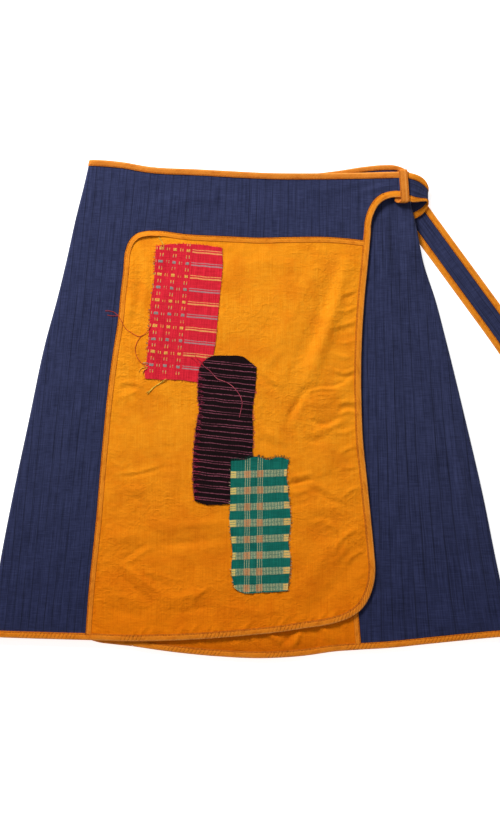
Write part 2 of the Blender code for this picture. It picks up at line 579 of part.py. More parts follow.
def underlap_pieces(parent):
    place, bound = on_layer(UNDERLAP), on_layer(UNDERLAP, True)
    rolls = UNDERLAP["rolls"]
    hem = edge_to_fold(backwards(smooth(UNDERLAP_HEM)), rolls)
    edge = smooth(UNDERLAP_EDGE)
    waist = edge_to_fold(smooth(UNDERLAP_WAIST), rolls)
    border = smooth(UNDERLAP_BORDER)
    inner_hem = beside(hem, BOUND_WIDTH + SEAM)
    inner_edge = beside(edge, -(BOUND_WIDTH + SEAM))
    inner_waist = beside(waist, -(WAIST_WIDTH + SEAM))
    navy_side, mustard_side = (beside(border, (TAPE_WIDTH + gap) / 2) for gap in (-SEAM, SEAM))
    lower_rows = np.concatenate([np.linspace(0, 0.20, 6), np.linspace(0.28, 1, 10)])
    upper_rows = np.linspace(0, 1, 8)
    columns = np.concatenate([np.linspace(0, 0.20, 5), np.linspace(0.30, 1, 9)])

    # Navy: the side, the corner of the yoke, and the yoke over to the hidden free edge
    corner_share = share_at(navy_side, 1, UNDERLAP_CORNER_Y)
    corner = navy_side(corner_share)
    foot_share = share_at(navy_side, 1, height_at(inner_hem, UNDERLAP_NAVY_FOOT_X) + SEAM)
    leg = part_of(navy_side, foot_share, corner_share)
    bottom, top = roll_span(1, RIGHT_RADIUS, inner_hem, inner_waist)
    lower_roll, lower_turn = roll_block(1, RIGHT_RADIUS, (bottom, corner[1]), lower_rows)
    upper_roll, upper_turn = roll_block(1, RIGHT_RADIUS, (corner[1], top), upper_rows)
    post = line(corner, point_at(inner_waist, 0, corner[0]))
    across = line(corner, lower_turn(1))
    lower_side = block(leg, lower_turn, piece_between(inner_hem, leg(0)[0], lower_turn(0)[0]), across, 8, lower_rows)
    upper_side = block(post, upper_turn, across, piece_between(inner_waist, post(1)[0], upper_turn(1)[0]), 8,
                       upper_rows)
    bend, bend_share = UNDERLAP_YOKE_BEND_SHARE, 1 - UNDERLAP_YOKE_BEND_SHARE
    free_top = part_of(inner_edge, share_at(inner_edge, 1, navy_side(UNDERLAP_YOKE_FOOT_SHARE)[1]),
                       share_at(inner_edge, 1, height_at(inner_waist, UNDERLAP_WAIST_END_X)))
    yoke_line = joined(line(free_top(0), navy_side(bend)), part_of(backwards(navy_side), bend_share, 1 - corner_share))
    yoke = block(free_top, post, yoke_line, piece_between(inner_waist, free_top(1)[0], post(1)[0]), columns,
                 upper_rows)
    sewn("underlap_navy", NAVY, [lower_roll, upper_roll, lower_side, upper_side, yoke], place, parent)

    # Mustard panel, mostly hidden, with its round corner at the lower left
    side = part_of(mustard_side, foot_share, corner_share)
    rim = joined(backwards(piece_between(inner_hem, UNDERLAP_HEM_END_X, side(0)[0])), part_of(inner_edge, 0.003, 1))
    round_share = share_at(rim, 0, UNDERLAP_ROUND_X)
    top_share = share_at(rim, 1, mustard_side(UNDERLAP_YOKE_FOOT_SHARE)[1])
    free = part_of(rim, round_share, top_share)
    top = joined(line(free(1), mustard_side(bend)), part_of(backwards(mustard_side), bend_share, 1 - corner_share))
    panel = block(free, side, backwards(part_of(rim, 0, round_share)), top, columns, lower_rows)
    sewn("underlap_mustard", MUSTARD, [panel], place, parent)
    tape_start = share_at(border, 1, height_at(inner_hem, UNDERLAP_BORDER_FOOT_X))
    tape_line = part_of(border, tape_start, UNDERLAP_TAPE_END_SHARE)
    tape = ribbon(tape_line, TAPE_WIDTH, 30, TAPE, CLOTH + SEAM, False)
    sewn("underlap_border_tape", TRIM, [tape], place, parent)

    bound_hem = hem_ribbon(part_of(hem, 0.001, 1), rolls, 24)
    sewn("underlap_hem_binding", TRIM, [bound_hem], bound, parent)
    stations = 1 - np.concatenate([np.linspace(0, 0.25, 20), np.linspace(0.25, 1, 14)[1:]])[::-1]
    sewn("underlap_edge_binding", TRIM, [ribbon(backwards(edge), BOUND_WIDTH, stations, BINDING)], bound, parent)
    waist_cut = part_of(waist, share_at(waist, 0, UNDERLAP_WAIST_BINDING_X), 1)
    sewn("underlap_waist_binding", TRIM, [waist_ribbon(waist_cut, WAIST_WIDTH, rolls, 20)], bound, parent)


def patch_lift(name):
    """How high a patch's underside lies over its panel: it climbs where it covers the patch before it."""
    under = PATCHES[name]["over"]
    if under is None:
        return lambda x, y: CLOTH + SEAM
    corners = np.array(PATCHES[under]["corners"])
    right, bottom = corners[1:3, 0].max(), corners[:2, 1].min()

    def lift(x, y):
        over = ramp((right + PATCH_RAMP - x) / PATCH_RAMP) * ramp((y - bottom + PATCH_RAMP) / PATCH_RAMP)
        return CLOTH + SEAM + (PATCH + SEAM) * float(over)

    return lift


def patch_pieces(parent):
    for name, patch in PATCHES.items():
        lower_left, lower_right, upper_right, upper_left = (np.array(corner) for corner in patch["corners"])
        shape = block(line(lower_left, upper_left), line(lower_right, upper_right),
                      line(lower_left, lower_right), line(upper_left, upper_right), 8, 18)
        plan = shape["plan"]
        middle = plan.mean(axis=(0, 1))
        for row in (0, -1):
            for column in (0, -1):
                inwards = middle - plan[row, column]
                plan[row, column] += patch["round"] * np.sign(inwards)
        lift = patch_lift(name)
        shape["low"] = np.array([[lift(x, y) for x, y in row] for row in plan])
        shape["high"] = shape["low"] + PATCH
        sewn(name, patch["colour"], [shape], on_layer(OVERLAP), parent)


# The tie, drawn straight on and then folded twice


def tie_flat(along, across):
    """A point of the tie before it is folded: it bends a little as it leaves the loop and as it hangs."""
    steps = np.linspace(0, along, 40)
    share = steps / TIE_TO_FOLD
    hang = (steps - TIE_HANGS_FROM) / (TIE_LENGTH - TIE_HANGS_FROM)
    heading = TIE_HEADING + TIE_FIRST_BEND * ramp(share) + TIE_LAST_BEND * np.clip(hang, 0, 1)
    step = along / (len(steps) - 1)
    halves = (heading[1:] + heading[:-1]) / 2
    x = TIE_START[0] + step * float(np.cos(halves).sum())
    y = TIE_START[1] + step * float(np.sin(halves).sum())
    from_fold = (share[-1] - TIE_FOLD_PINCH["middle"]) / TIE_FOLD_PINCH["spread"]
    pinch = 1 - TIE_LOOP_PINCH * (1 - ramp(share[-1])) - TIE_FOLD_PINCH["depth"] * math.exp(-from_fold ** 2)
    slant = heading[-1] * float(ramp(2 * share[-1]))
    return x - math.sin(slant) * across * pinch, y + math.cos(slant) * across * pinch


TIE_MIDDLE = TIE_BINDING / 2
TIE_HEIGHT_AT_FOLD = TIE_MIDDLE + 2 * (TIE_FOLD_1["radius"] + TIE_FOLD_2["radius"])


def past_fold(number, fold, here):
    """How far a point of the tie lies past a fold line, and the way that it is past it."""
    side = -1 if number == 0 else 1
    outwards = side * np.array([math.sin(fold["angle"]), -math.cos(fold["angle"])])
    return float(np.dot(here - fold["point"], outwards)), outwards


def on_tie(along, across, lift):
    """A point of the folded tie: over the skirt, back beneath itself, and out again along the surface."""
    x, y = tie_flat(along, across)
    here, face, height = np.array([x, y]), 1, TIE_HEIGHT_AT_FOLD
    for number, fold in enumerate((TIE_FOLD_1, TIE_FOLD_2)):
        radius = fold["radius"]
        past, outwards = past_fold(number, fold, here)
        if past <= 0:
            if number == 0:
                over_skirt = overlap_height(x, y) + TIE_MIDDLE
                height += (over_skirt - height) * float(ramp(-past / TIE_DESCENT))
            break
        if past < math.pi * radius:
            reach = radius + face * lift
            here = here + outwards * (reach * math.sin(past / radius) - past)
            return here[0], here[1], height - radius + reach * math.cos(past / radius)
        here = here - outwards * (2 * past - math.pi * radius)
        height -= 2 * radius
        face = -face
    return here[0], here[1], height + face * lift


def tie_reaches(number):
    """How far along its middle the tie is when it starts to turn round a fold."""
    folds = (TIE_FOLD_1, TIE_FOLD_2)
    along, reached = 0.0, False
    while not reached:
        along += 0.0002
        here = np.array(tie_flat(along, 0.0))
        clear = True
        for before, fold in enumerate(folds[:number]):
            past, outwards = past_fold(before, fold, here)
            clear = past >= math.pi * fold["radius"]
            here = here - outwards * (2 * past - math.pi * fold["radius"])
        reached = clear and past_fold(number, folds[number], here)[0] > 0
    return along


def tie_stations(end):
    """Places along the tie with the slant that each has there, so that they run along the folds."""
    first, second = tie_reaches(0), tie_reaches(1)
    first_turn, second_turn = (math.pi * fold["radius"] / math.sin(fold["crossing"])
                               for fold in (TIE_FOLD_1, TIE_FOLD_2))
    open_again = second + second_turn + TIE_SQUARE_AGAIN
    places = np.concatenate([np.linspace(0, first, 7), np.linspace(first, first + first_turn, 9)[1:],
                             np.linspace(first + first_turn, second, 4)[1:],
                             np.linspace(second, second + second_turn, 7)[1:],
                             np.linspace(second + second_turn, open_again, 7)[1:],
                             np.linspace(open_again, end, 16)[1:]])
    slants = np.interp(places, [0, first, first + first_turn, second, second + second_turn, open_again],
                       [0, -TIE_SLANTS[0], -TIE_SLANTS[0], -TIE_SLANTS[1], -TIE_SLANTS[1], 0])
    return places, slants


def tie_block(places, slants, across, half_thickness):
    plan = np.stack([np.stack([places + slants * way, np.full(len(places), way)], axis=1) for way in across], axis=1)
    half = np.broadcast_to(np.asarray(half_thickness, float), plan.shape[:2])
    return {"plan": plan, "low": -half, "high": half.copy()}


def tie_pieces(parent):
    half = TIE_WIDTH / 2
    strip = half - TIE_BOUND - SEAM
    places, slants = tie_stations(TIE_LENGTH - TIE_BOUND - SEAM)
    thin, thick = TIE_STRIP / 2, TIE_BINDING / 2
    sewn("tie_strip", NAVY, [tie_block(places, slants, (-strip, 0, strip), thin)], on_tie, parent)
    rounded = (thick, thick, 0.4 * thick)
    for name, side in (("tie_upper_binding", 1), ("tie_lower_binding", -1)):
        across = [side * (half - TIE_BOUND), side * (half - TIE_ROUNDING), side * half]
        sewn(name, TRIM, [tie_block(places, slants, across, rounded)], on_tie, parent)
    last = np.array([TIE_LENGTH - TIE_BOUND, TIE_LENGTH - TIE_ROUNDING, TIE_LENGTH])
    end = tie_block(last, 0 * last, np.linspace(-half, half, 6), thick)
    for side in ("low", "high"):
        end[side] = end[side].copy()
        end[side][-1] *= 0.4
    sewn("tie_end_binding", TRIM, [end], on_tie, parent)


def belt_loop(parent):
    """A closed ring of flat tape round the tie: down its front, back up behind it, both ends rolled over."""
    top, bottom = LOOP_TOP, LOOP_BOTTOM
    rear, front = -SEAM - LOOP_CLOTH / 2, BINDING + SEAM + LOOP_CLOTH / 2
    middle, radius = (rear + front) / 2, (front - rear) / 2
    route = []
    for share in np.linspace(0, 1, 9):
        x = LOOP_FRONT_X[0] + share * (LOOP_FRONT_X[1] - LOOP_FRONT_X[0])
        route.append((x, top + share * (bottom - top) + (0.5 - share) * -2 * radius, front, (0, 1)))
    for angle in np.radians([30, 60, 90, 120, 150]):
        share = angle / math.pi
        x = LOOP_FRONT_X[1] + share * (LOOP_REAR_X[1] - LOOP_FRONT_X[1])
        route.append((x, bottom + radius - radius * math.sin(angle), middle + radius * math.cos(angle),
                      (-math.sin(angle), math.cos(angle))))
    for share in np.linspace(0, 1, 9):
        x = LOOP_REAR_X[1] + share * (LOOP_REAR_X[0] - LOOP_REAR_X[1])
        route.append((x, bottom + share * (top - bottom) + (0.5 - share) * 2 * radius, rear, (0, -1)))
    for angle in np.radians([150, 120, 90, 60, 30]):
        share = 1 - angle / math.pi
        x = LOOP_REAR_X[0] + share * (LOOP_FRONT_X[0] - LOOP_REAR_X[0])
        route.append((x, top - radius + radius * math.sin(angle), middle + radius * math.cos(angle),
                      (math.sin(angle), math.cos(angle))))
    mesh = bmesh.new()
    rings = []
    for x, y, height, (out_y, out_z) in route:
        ring = []
        for across, off in ((-1, -1), (1, -1), (1, 1), (-1, 1)):
            reach = off * LOOP_CLOTH / 2
            corner_x = x + across * LOOP_WIDTH / 2
            ring.append(mesh.verts.new((corner_x, y + out_y * reach,
                                        overlap_height(corner_x, y) + height + out_z * reach)))
        rings.append(ring)
    for ring, following in zip(rings, rings[1:] + rings[:1]):
        for k in range(4):
            mesh.faces.new((ring[k], ring[(k + 1) % 4], following[(k + 1) % 4], following[k]))
    bmesh.ops.recalc_face_normals(mesh, faces=mesh.faces)
    finished("belt_loop", TRIM, mesh, parent)


def main():
    for old in list(bpy.data.objects):
        bpy.data.objects.remove(old)
    skirt = bpy.data.objects.new("laid_skirt", None)
    bpy.context.collection.objects.link(skirt)
    back_pieces(skirt)
    underlap_pieces(skirt)
    overlap_pieces(skirt)
    patch_pieces(skirt)
    tie_pieces(skirt)
    belt_loop(skirt)
    corners = np.array([vertex.co for made in skirt.children for vertex in made.data.vertices])
    middle = (corners.min(axis=0) + corners.max(axis=0)) / 2
    skirt.location = (-middle[0], -middle[1], 0.0)


main()
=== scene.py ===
"""Looks of the wrap mini skirt that lies flat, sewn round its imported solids.

The cloth is cut in the plan of the solids: x to the right and y from the hem up to the waist, in metres. A
third number, the lift, is the height over the underside of the piece's own layer. A layer knows how high it
lies, which creases run over it and how it rolls round the side folds, and the tie knows how it is folded.
Each piece keeps its own cloth coordinates, in millimetres across and along its weave, for its material.
"""

import math

import bmesh
import bpy
import numpy as np
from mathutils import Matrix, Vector


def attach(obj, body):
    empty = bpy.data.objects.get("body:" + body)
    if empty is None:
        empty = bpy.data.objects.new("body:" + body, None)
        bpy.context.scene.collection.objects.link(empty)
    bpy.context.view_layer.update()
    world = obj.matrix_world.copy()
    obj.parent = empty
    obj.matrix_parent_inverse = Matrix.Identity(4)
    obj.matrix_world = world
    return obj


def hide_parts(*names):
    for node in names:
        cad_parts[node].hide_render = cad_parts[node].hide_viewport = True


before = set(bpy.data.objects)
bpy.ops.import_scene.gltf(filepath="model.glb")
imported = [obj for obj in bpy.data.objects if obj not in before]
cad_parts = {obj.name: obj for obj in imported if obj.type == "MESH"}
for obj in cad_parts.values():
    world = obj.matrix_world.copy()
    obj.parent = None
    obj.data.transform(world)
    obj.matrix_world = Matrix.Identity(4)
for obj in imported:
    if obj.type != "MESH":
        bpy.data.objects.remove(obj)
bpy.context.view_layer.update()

MM = 0.001

# The photo: metres a pixel on the laid cloth, and the pixel where the plan's x and y are zero
PIXEL = 0.00105
PLAN_ZERO = (250.0, 658.5)
PHOTO_MIDDLE = (250.0, 416.5)
PHOTO_HEIGHT = 833
# From the plan to the frame
TO_FRAME = np.array([-0.06393, -0.26202, 0.0])

# Sizes of the solids that the cloth fills
CLOTH = 0.0012
SEAM = 0.0003
BOUND_WIDTH = 0.0070
WAIST_WIDTH = 0.0066
BACK_WAIST_WIDTH = 0.0055
TAPE_WIDTH = 0.0056
UNDERLAP_HEIGHT = 0.0025
OVERLAP_HEIGHT = 0.0053
FOLD_SPRING = 0.0015
FOLD_SPRING_REACH = (0.030, 0.005)
TIE_BENEATH = ((0.1700, 0.4860), (0.1725, 0.4480))
TIE_LIFT = 0.0038
TIE_LIFT_FLAT = 0.0100
TIE_LIFT_REACH = 0.0600
LOOP_LIFT = 0.0027
LOOP_CLIMB_START = (0.105, 0.430)
LOOP_CLIMB_LENGTH = 0.045
FOLD_CLEARANCE = 0.012

# The woven cloth inside a wall of the solid, and how far its cut edge stays inside a binding
WOVEN = (0.00045, 0.00115)
TUCK = 0.0012

# Outlines in plan, each a list of x, y
LEFT_FOLD = [
    (-0.2751, 0.0226), (-0.2625, 0.1034), (-0.2504, 0.1664), (-0.2326, 0.2504), (-0.2147, 0.3344),
    (-0.2032, 0.3764), (-0.1930, 0.4184), (-0.1838, 0.4604), (-0.1735, 0.5020), (-0.1687, 0.5235),
]
RIGHT_FOLD = [
    (0.2762, 0.0236), (0.2588, 0.1034), (0.2462, 0.1664), (0.2268, 0.2504), (0.2063, 0.3344),
    (0.1953, 0.3764), (0.1817, 0.4184), (0.1783, 0.4352), (0.1729, 0.4618), (0.1680, 0.4814),
    (0.1668, 0.5120),
]
OVERLAP_WAIST = [
    (-0.1760, 0.5242), (-0.1680, 0.5240), (-0.1339, 0.5213), (-0.1057, 0.5165), (-0.0525, 0.5137),
    (0.0242, 0.5098), (0.0945, 0.5098), (0.1575, 0.5105),
]
UNDERLAP_WAIST = [
    (-0.1313, 0.5140), (-0.0525, 0.5108), (0.0242, 0.5068), (0.0945, 0.5066), (0.1440, 0.5072),
    (0.1600, 0.5092), (0.1668, 0.5112), (0.1760, 0.5150),
]
BACK_WAIST = [
    (-0.1760, 0.5242), (-0.1680, 0.5238), (-0.1060, 0.5150), (-0.0525, 0.5119), (0.0242, 0.5077),
    (0.0640, 0.5095), (0.0940, 0.5130), (0.1197, 0.5169), (0.1386, 0.5186), (0.1544, 0.5178),
    (0.1617, 0.5150), (0.1668, 0.5112), (0.1760, 0.5040),
]
OVERLAP_HEM = [
    (-0.2830, 0.0229), (-0.2751, 0.0226), (-0.2205, 0.0207), (-0.1722, 0.0194), (-0.1285, 0.0179),
    (-0.0620, 0.0195), (0.0053, 0.0247), (0.0315, 0.0274), (0.0557, 0.0313),
]
OVERLAP_EDGE = [
    (0.0557, 0.0313), (0.0830, 0.0355), (0.1044, 0.0425), (0.1157, 0.0501), (0.1247, 0.0629),
    (0.1298, 0.0772), (0.1317, 0.0929), (0.1307, 0.1087), (0.1276, 0.1418), (0.1225, 0.1919),
    (0.1187, 0.2294), (0.1171, 0.2714), (0.1168, 0.3029), (0.1176, 0.3344), (0.1202, 0.3764),
    (0.1243, 0.4184), (0.1266, 0.4450), (0.1277, 0.4594), (0.1306, 0.4685), (0.1346, 0.4755),
    (0.1402, 0.4804), (0.1475, 0.4829), (0.1580, 0.4834),
]
UNDERLAP_HEM = [
    (0.2840, 0.0243), (0.2762, 0.0236), (0.2320, 0.0194), (0.1900, 0.0152), (0.1491, 0.0110),
    (0.1155, 0.0089), (0.0872, 0.0068), (0.0578, 0.0026), (0.0063, 0.0000), (-0.0368, 0.0021),
    (-0.0798, 0.0063), (-0.1239, 0.0126),
]
UNDERLAP_EDGE = [
    (-0.1239, 0.0126), (-0.1439, 0.0147), (-0.1596, 0.0168), (-0.1764, 0.0236), (-0.1890, 0.0383),
    (-0.1943, 0.0614), (-0.1922, 0.0929), (-0.1722, 0.2504), (-0.1533, 0.3764), (-0.1313, 0.5140),
]
BACK_HEM = [
    (-0.2830, 0.0228), (-0.2751, 0.0226), (-0.1720, 0.0220), (-0.0600, 0.0170), (0.0200, 0.0145),
    (0.1000, 0.0145), (0.1900, 0.0188), (0.2762, 0.0236), (0.2840, 0.0242),
]
OVERLAP_BORDER = [
    (-0.1732, 0.0190), (-0.1693, 0.0719), (-0.1620, 0.1418), (-0.1554, 0.2189), (-0.1480, 0.2914),
    (-0.1439, 0.3212), (-0.1385, 0.3554), (-0.1355, 0.3869), (-0.1330, 0.4069), (-0.1304, 0.4297),
    (-0.1250, 0.4410), (-0.1183, 0.4464), (-0.1096, 0.4487), (-0.0977, 0.4490), (-0.0656, 0.4453),
    (-0.0254, 0.4433), (0.0105, 0.4418), (0.0417, 0.4424), (0.0767, 0.4426), (0.0940, 0.4417),
    (0.1250, 0.4385),
]
UNDERLAP_BORDER = [
    (0.1173, 0.0090), (0.1140, 0.0479), (0.0980, 0.1850), (0.0840, 0.3082), (0.0756, 0.3922),
    (0.0693, 0.4226), (0.0588, 0.4331), (0.0441, 0.4363), (-0.0525, 0.4363), (-0.1420, 0.4363),
]

# Where the pieces of the overlap and of the underlap meet, as in the solids
OVERLAP_CORNER_Y = 0.4430
OVERLAP_BORDER_FOOT_X = -0.1700
OVERLAP_YOKE_END_Y = 0.4360
OVERLAP_YOKE_LEAN = 0.0040
OVERLAP_TAPER_X = 0.0850
OVERLAP_TAPER_TIP_X = 0.1570
OVERLAP_TAPER_TIP_SHARE = 0.985
OVERLAP_HEM_END_X = 0.0530
OVERLAP_ROUND_X = 0.1010
UNDERLAP_CORNER_Y = 0.4300
UNDERLAP_BORDER_FOOT_X = 0.1160
UNDERLAP_NAVY_FOOT_X = 0.1140
UNDERLAP_YOKE_BEND_SHARE = 0.985
UNDERLAP_YOKE_FOOT_SHARE = 0.994
UNDERLAP_TAPE_END_SHARE = 0.965
UNDERLAP_WAIST_END_X = -0.1215
UNDERLAP_WAIST_BINDING_X = -0.1227
UNDERLAP_HEM_END_X = -0.1160
UNDERLAP_ROUND_X = -0.1790
ROLL_BOTTOM_Y = 0.030
ROLL_TOP_Y = 0.505
SLANT_REACH = 0.040

# Creases: height over the cloth and half width in millimetres, and the photo points that each runs through.
# The overlap's first three and the underlap's first follow the folds of the solids; the rest are finer.
OVERLAP_CREASES = [
    (2.7, 7.5, [(347, 256), (340, 287), (329, 326), (317, 358), (304, 390)]),
    (0.8, 7.0, [(312, 366), (332, 388), (354, 404)]),
    (0.7, 7.0, [(121, 552), (140, 584), (176, 600), (214, 588)]),
    (-1.5, 8.0, [(337, 258), (327, 294), (312, 332), (297, 366), (286, 390)]),
    (0.9, 7.5, [(318, 254), (306, 288), (290, 322), (276, 354)]),
    (-1.5, 3.6, [(313, 387), (303, 393), (298, 402), (292, 411), (285, 426)]),
    (0.5, 3.2, [(309, 396), (303, 405), (298, 416), (292, 430)]),
    (-0.7, 1.8, [(311, 389), (322, 386), (334, 386), (343, 382), (351, 376)]),
    (1.1, 1.7, [(304, 393), (312, 391), (322, 389), (334, 389), (342, 386), (352, 380)]),
    (1.1, 1.7, [(308, 398), (318, 395), (332, 394), (341, 390), (352, 384)]),
    (0.8, 1.8, [(308, 402), (324, 398), (335, 397), (343, 393), (353, 387)]),
    (0.8, 2.4, [(334, 405), (345, 402), (351, 402), (357, 405)]),
    (-1.0, 2.6, [(336, 412), (344, 408), (350, 407), (358, 412)]),
    (1.0, 2.0, [(338, 416), (346, 412), (352, 412), (358, 416)]),
    (0.9, 4.4, [(306, 403), (320, 404), (338, 400)]),
    (-1.3, 2.8, [(302, 402), (307, 412), (311, 421), (320, 424), (331, 422), (343, 414)]),
    (0.9, 3.0, [(314, 430), (326, 429), (340, 423), (350, 418)]),
    (-0.7, 3.0, [(305, 438), (315, 442), (326, 438)]),
    (0.7, 3.4, [(303, 431), (314, 434), (328, 432)]),
    (0.9, 1.8, [(357, 290), (348, 293), (338, 295)]),
    (-0.6, 1.8, [(357, 294), (349, 297), (341, 300)]),
    (0.8, 1.8, [(357, 307), (346, 311), (333, 311)]),
    (0.7, 2.2, [(358, 320), (344, 325), (328, 328)]),
    (-0.5, 2.4, [(356, 325), (344, 330), (330, 333)]),
    (0.8, 1.9, [(356, 340), (346, 343), (337, 342)]),
    (0.9, 2.0, [(356, 357), (344, 357), (330, 351)]),
    (0.8, 2.0, [(357, 369), (351, 372), (342, 373), (330, 368)]),
    (-0.9, 1.8, [(357, 373), (350, 376), (341, 377), (331, 373)]),
    (0.9, 2.2, [(357, 428), (342, 433), (332, 431)]),
    (0.9, 2.0, [(358, 446), (347, 449), (338, 455)]),
    (0.9, 2.0, [(359, 465), (350, 468), (341, 466)]),
    (0.9, 2.0, [(361, 486), (351, 490), (343, 497)]),
    (1.1, 2.4, [(363, 528), (351, 532), (340, 541), (333, 555)]),
    (0.9, 2.2, [(364, 551), (353, 556), (345, 565)]),
    (0.8, 6.0, [(324, 436), (328, 452), (329, 474)]),
    (-0.8, 6.0, [(345, 440), (348, 456), (346, 478)]),
    (1.0, 2.4, [(287, 478), (299, 476), (314, 473)]),
    (-1.6, 1.7, [(286, 485), (297, 483), (306, 481), (314, 480)]),
    (0.9, 2.6, [(286, 493), (300, 492), (314, 488)]),
    (-0.8, 2.4, [(306, 488), (319, 493), (331, 501), (341, 504), (352, 511)]),
    (0.8, 2.6, [(309, 483), (322, 487), (334, 495), (346, 501)]),
    (-0.6, 2.2, [(287, 506), (300, 504), (313, 499)]),
    (0.8, 6.0, [(303, 512), (320, 509), (340, 513)]),
    (-0.8, 6.0, [(312, 538), (328, 536), (345, 538)]),
    (0.9, 2.6, [(308, 525), (322, 521), (334, 528), (341, 538)]),
    (0.9, 8.5, [(352, 524), (329, 555), (306, 581), (284, 600)]),
    (-1.1, 8.5, [(366, 545), (346, 573), (324, 597), (302, 617)]),
    (0.7, 3.4, [(352, 538), (340, 556), (330, 566)]),
    (-0.7, 3.0, [(256, 372), (266, 383), (279, 392)]),
    (0.8, 3.0, [(262, 370), (272, 380), (284, 388)]),
    (-0.6, 3.2, [(256, 419), (264, 424), (273, 431)]),
    (-0.7, 3.6, [(256, 440), (267, 444), (281, 452)]),
    (0.8, 3.6, [(262, 430), (274, 436), (288, 446)]),
    (0.6, 1.8, [(112, 473), (130, 473), (148, 469), (166, 463)]),
    (-0.6, 1.8, [(112, 476), (130, 476), (150, 472), (168, 466)]),
    (0.7, 3.2, [(124, 486), (136, 490), (148, 490)]),
    (-0.9, 2.6, [(128, 499), (137, 499), (147, 503)]),
    (0.9, 5.5, [(150, 524), (178, 526), (206, 524), (236, 520)]),
    (-1.1, 5.0, [(148, 545), (176, 544), (204, 541), (232, 538)]),
    (1.0, 7.0, [(104, 534), (122, 538), (140, 532)]),
    (-0.6, 2.4, [(120, 562), (127, 557), (138, 549), (151, 542)]),
    (0.5, 2.0, [(124, 565), (133, 560), (144, 552), (156, 545)]),
    (0.8, 3.0, [(113, 557), (124, 567), (138, 577), (152, 587), (166, 595)]),
    (-0.6, 3.2, [(112, 566), (122, 577), (137, 590), (152, 602)]),
    (0.5, 1.9, [(133, 568), (150, 573), (170, 578), (190, 582)]),
    (-0.4, 2.2, [(140, 575), (158, 582), (176, 589)]),
    (0.6, 3.4, [(164, 597), (180, 597), (194, 594), (208, 588)]),
    (-0.6, 3.6, [(168, 611), (186, 612), (204, 607), (222, 612)]),
    (0.7, 1.8, [(193, 600), (201, 593), (210, 586)]),
    (0.8, 5.0, [(112, 592), (130, 600), (150, 606)]),
    (-0.8, 5.0, [(108, 606), (126, 613), (146, 618)]),
    (0.9, 3.2, [(131, 258), (132, 282), (130, 304), (126, 328)]),
    (-0.6, 3.0, [(138, 256), (140, 282), (137, 308), (132, 332)]),
    (0.7, 3.0, [(145, 262), (147, 286), (144, 306)]),
    (0.8, 2.0, [(117, 384), (130, 382), (144, 386)]),
    (-0.6, 2.0, [(117, 389), (130, 387), (143, 391)]),
    (0.7, 2.0, [(116, 398), (130, 394), (142, 388)]),
    (0.8, 2.2, [(124, 334), (136, 348), (140, 364)]),
    (0.7, 2.4, [(118, 360), (128, 366), (134, 378)]),
    (0.5, 6.0, [(136, 410), (143, 432), (150, 458)]),
    (0.6, 6.0, [(232, 268), (262, 262), (296, 266), (314, 258)]),
    (0.6, 4.0, [(262, 372), (276, 356), (290, 346)]),
    (0.5, 4.0, [(226, 606), (252, 612), (284, 608)]),
    (1.1, 3.4, [(396, 185), (382, 188), (366, 191), (352, 197)]),
    (0.7, 4.5, [(376, 182), (352, 184), (328, 190), (300, 190)]),
    (0.7, 6.0, [(98, 196), (110, 250), (102, 330)]),
    (0.7, 7.0, [(60, 330), (70, 420), (58, 520), (50, 600)]),
    (-0.6, 8.0, [(78, 330), (88, 430), (78, 540)]),
    (0.6, 6.0, [(150, 205), (210, 198), (262, 206)]),
]
# Small gathers along the stitched edges of the overlap: the seam in photo points, how many, how long in
# pixels, which way they lean off the seam, and their height and half width in millimetres
OVERLAP_GATHERS = [
    ([(126, 635), (190, 633), (255, 628), (303, 622), (329, 618), (348, 609)],
     25, 14, (0.60, -0.80), 0.75, 1.9),
    ([(355, 262), (354, 330), (355, 400), (357, 450), (361, 520), (365, 560), (366, 585)],
     38, 10, (-0.90, 0.42), 0.38, 1.4),
    ([(300, 350), (318, 420), (326, 480), (330, 540)], 16, 16, (-0.90, 0.42), 0.40, 1.7),
    ([(168, 420), (172, 470), (166, 530), (180, 580)], 16, 18, (-0.90, -0.30), 0.35, 1.8),
    ([(236, 300), (262, 340), (280, 380), (300, 300)], 12, 16, (0.50, 0.86), 0.30, 1.9),
    ([(139, 252), (134, 300), (128, 360), (120, 430), (110, 520), (101, 620)], 30, 9, (0.92, 0.38), 0.5, 1.6),
    ([(150, 246), (210, 245), (280, 250), (350, 247)], 14, 7, (0.30, 0.95), 0.4, 1.8),
    ([(95, 171), (170, 176), (250, 178), (330, 181), (390, 180)], 20, 8, (0.15, 0.98), 0.35, 2.0),
]
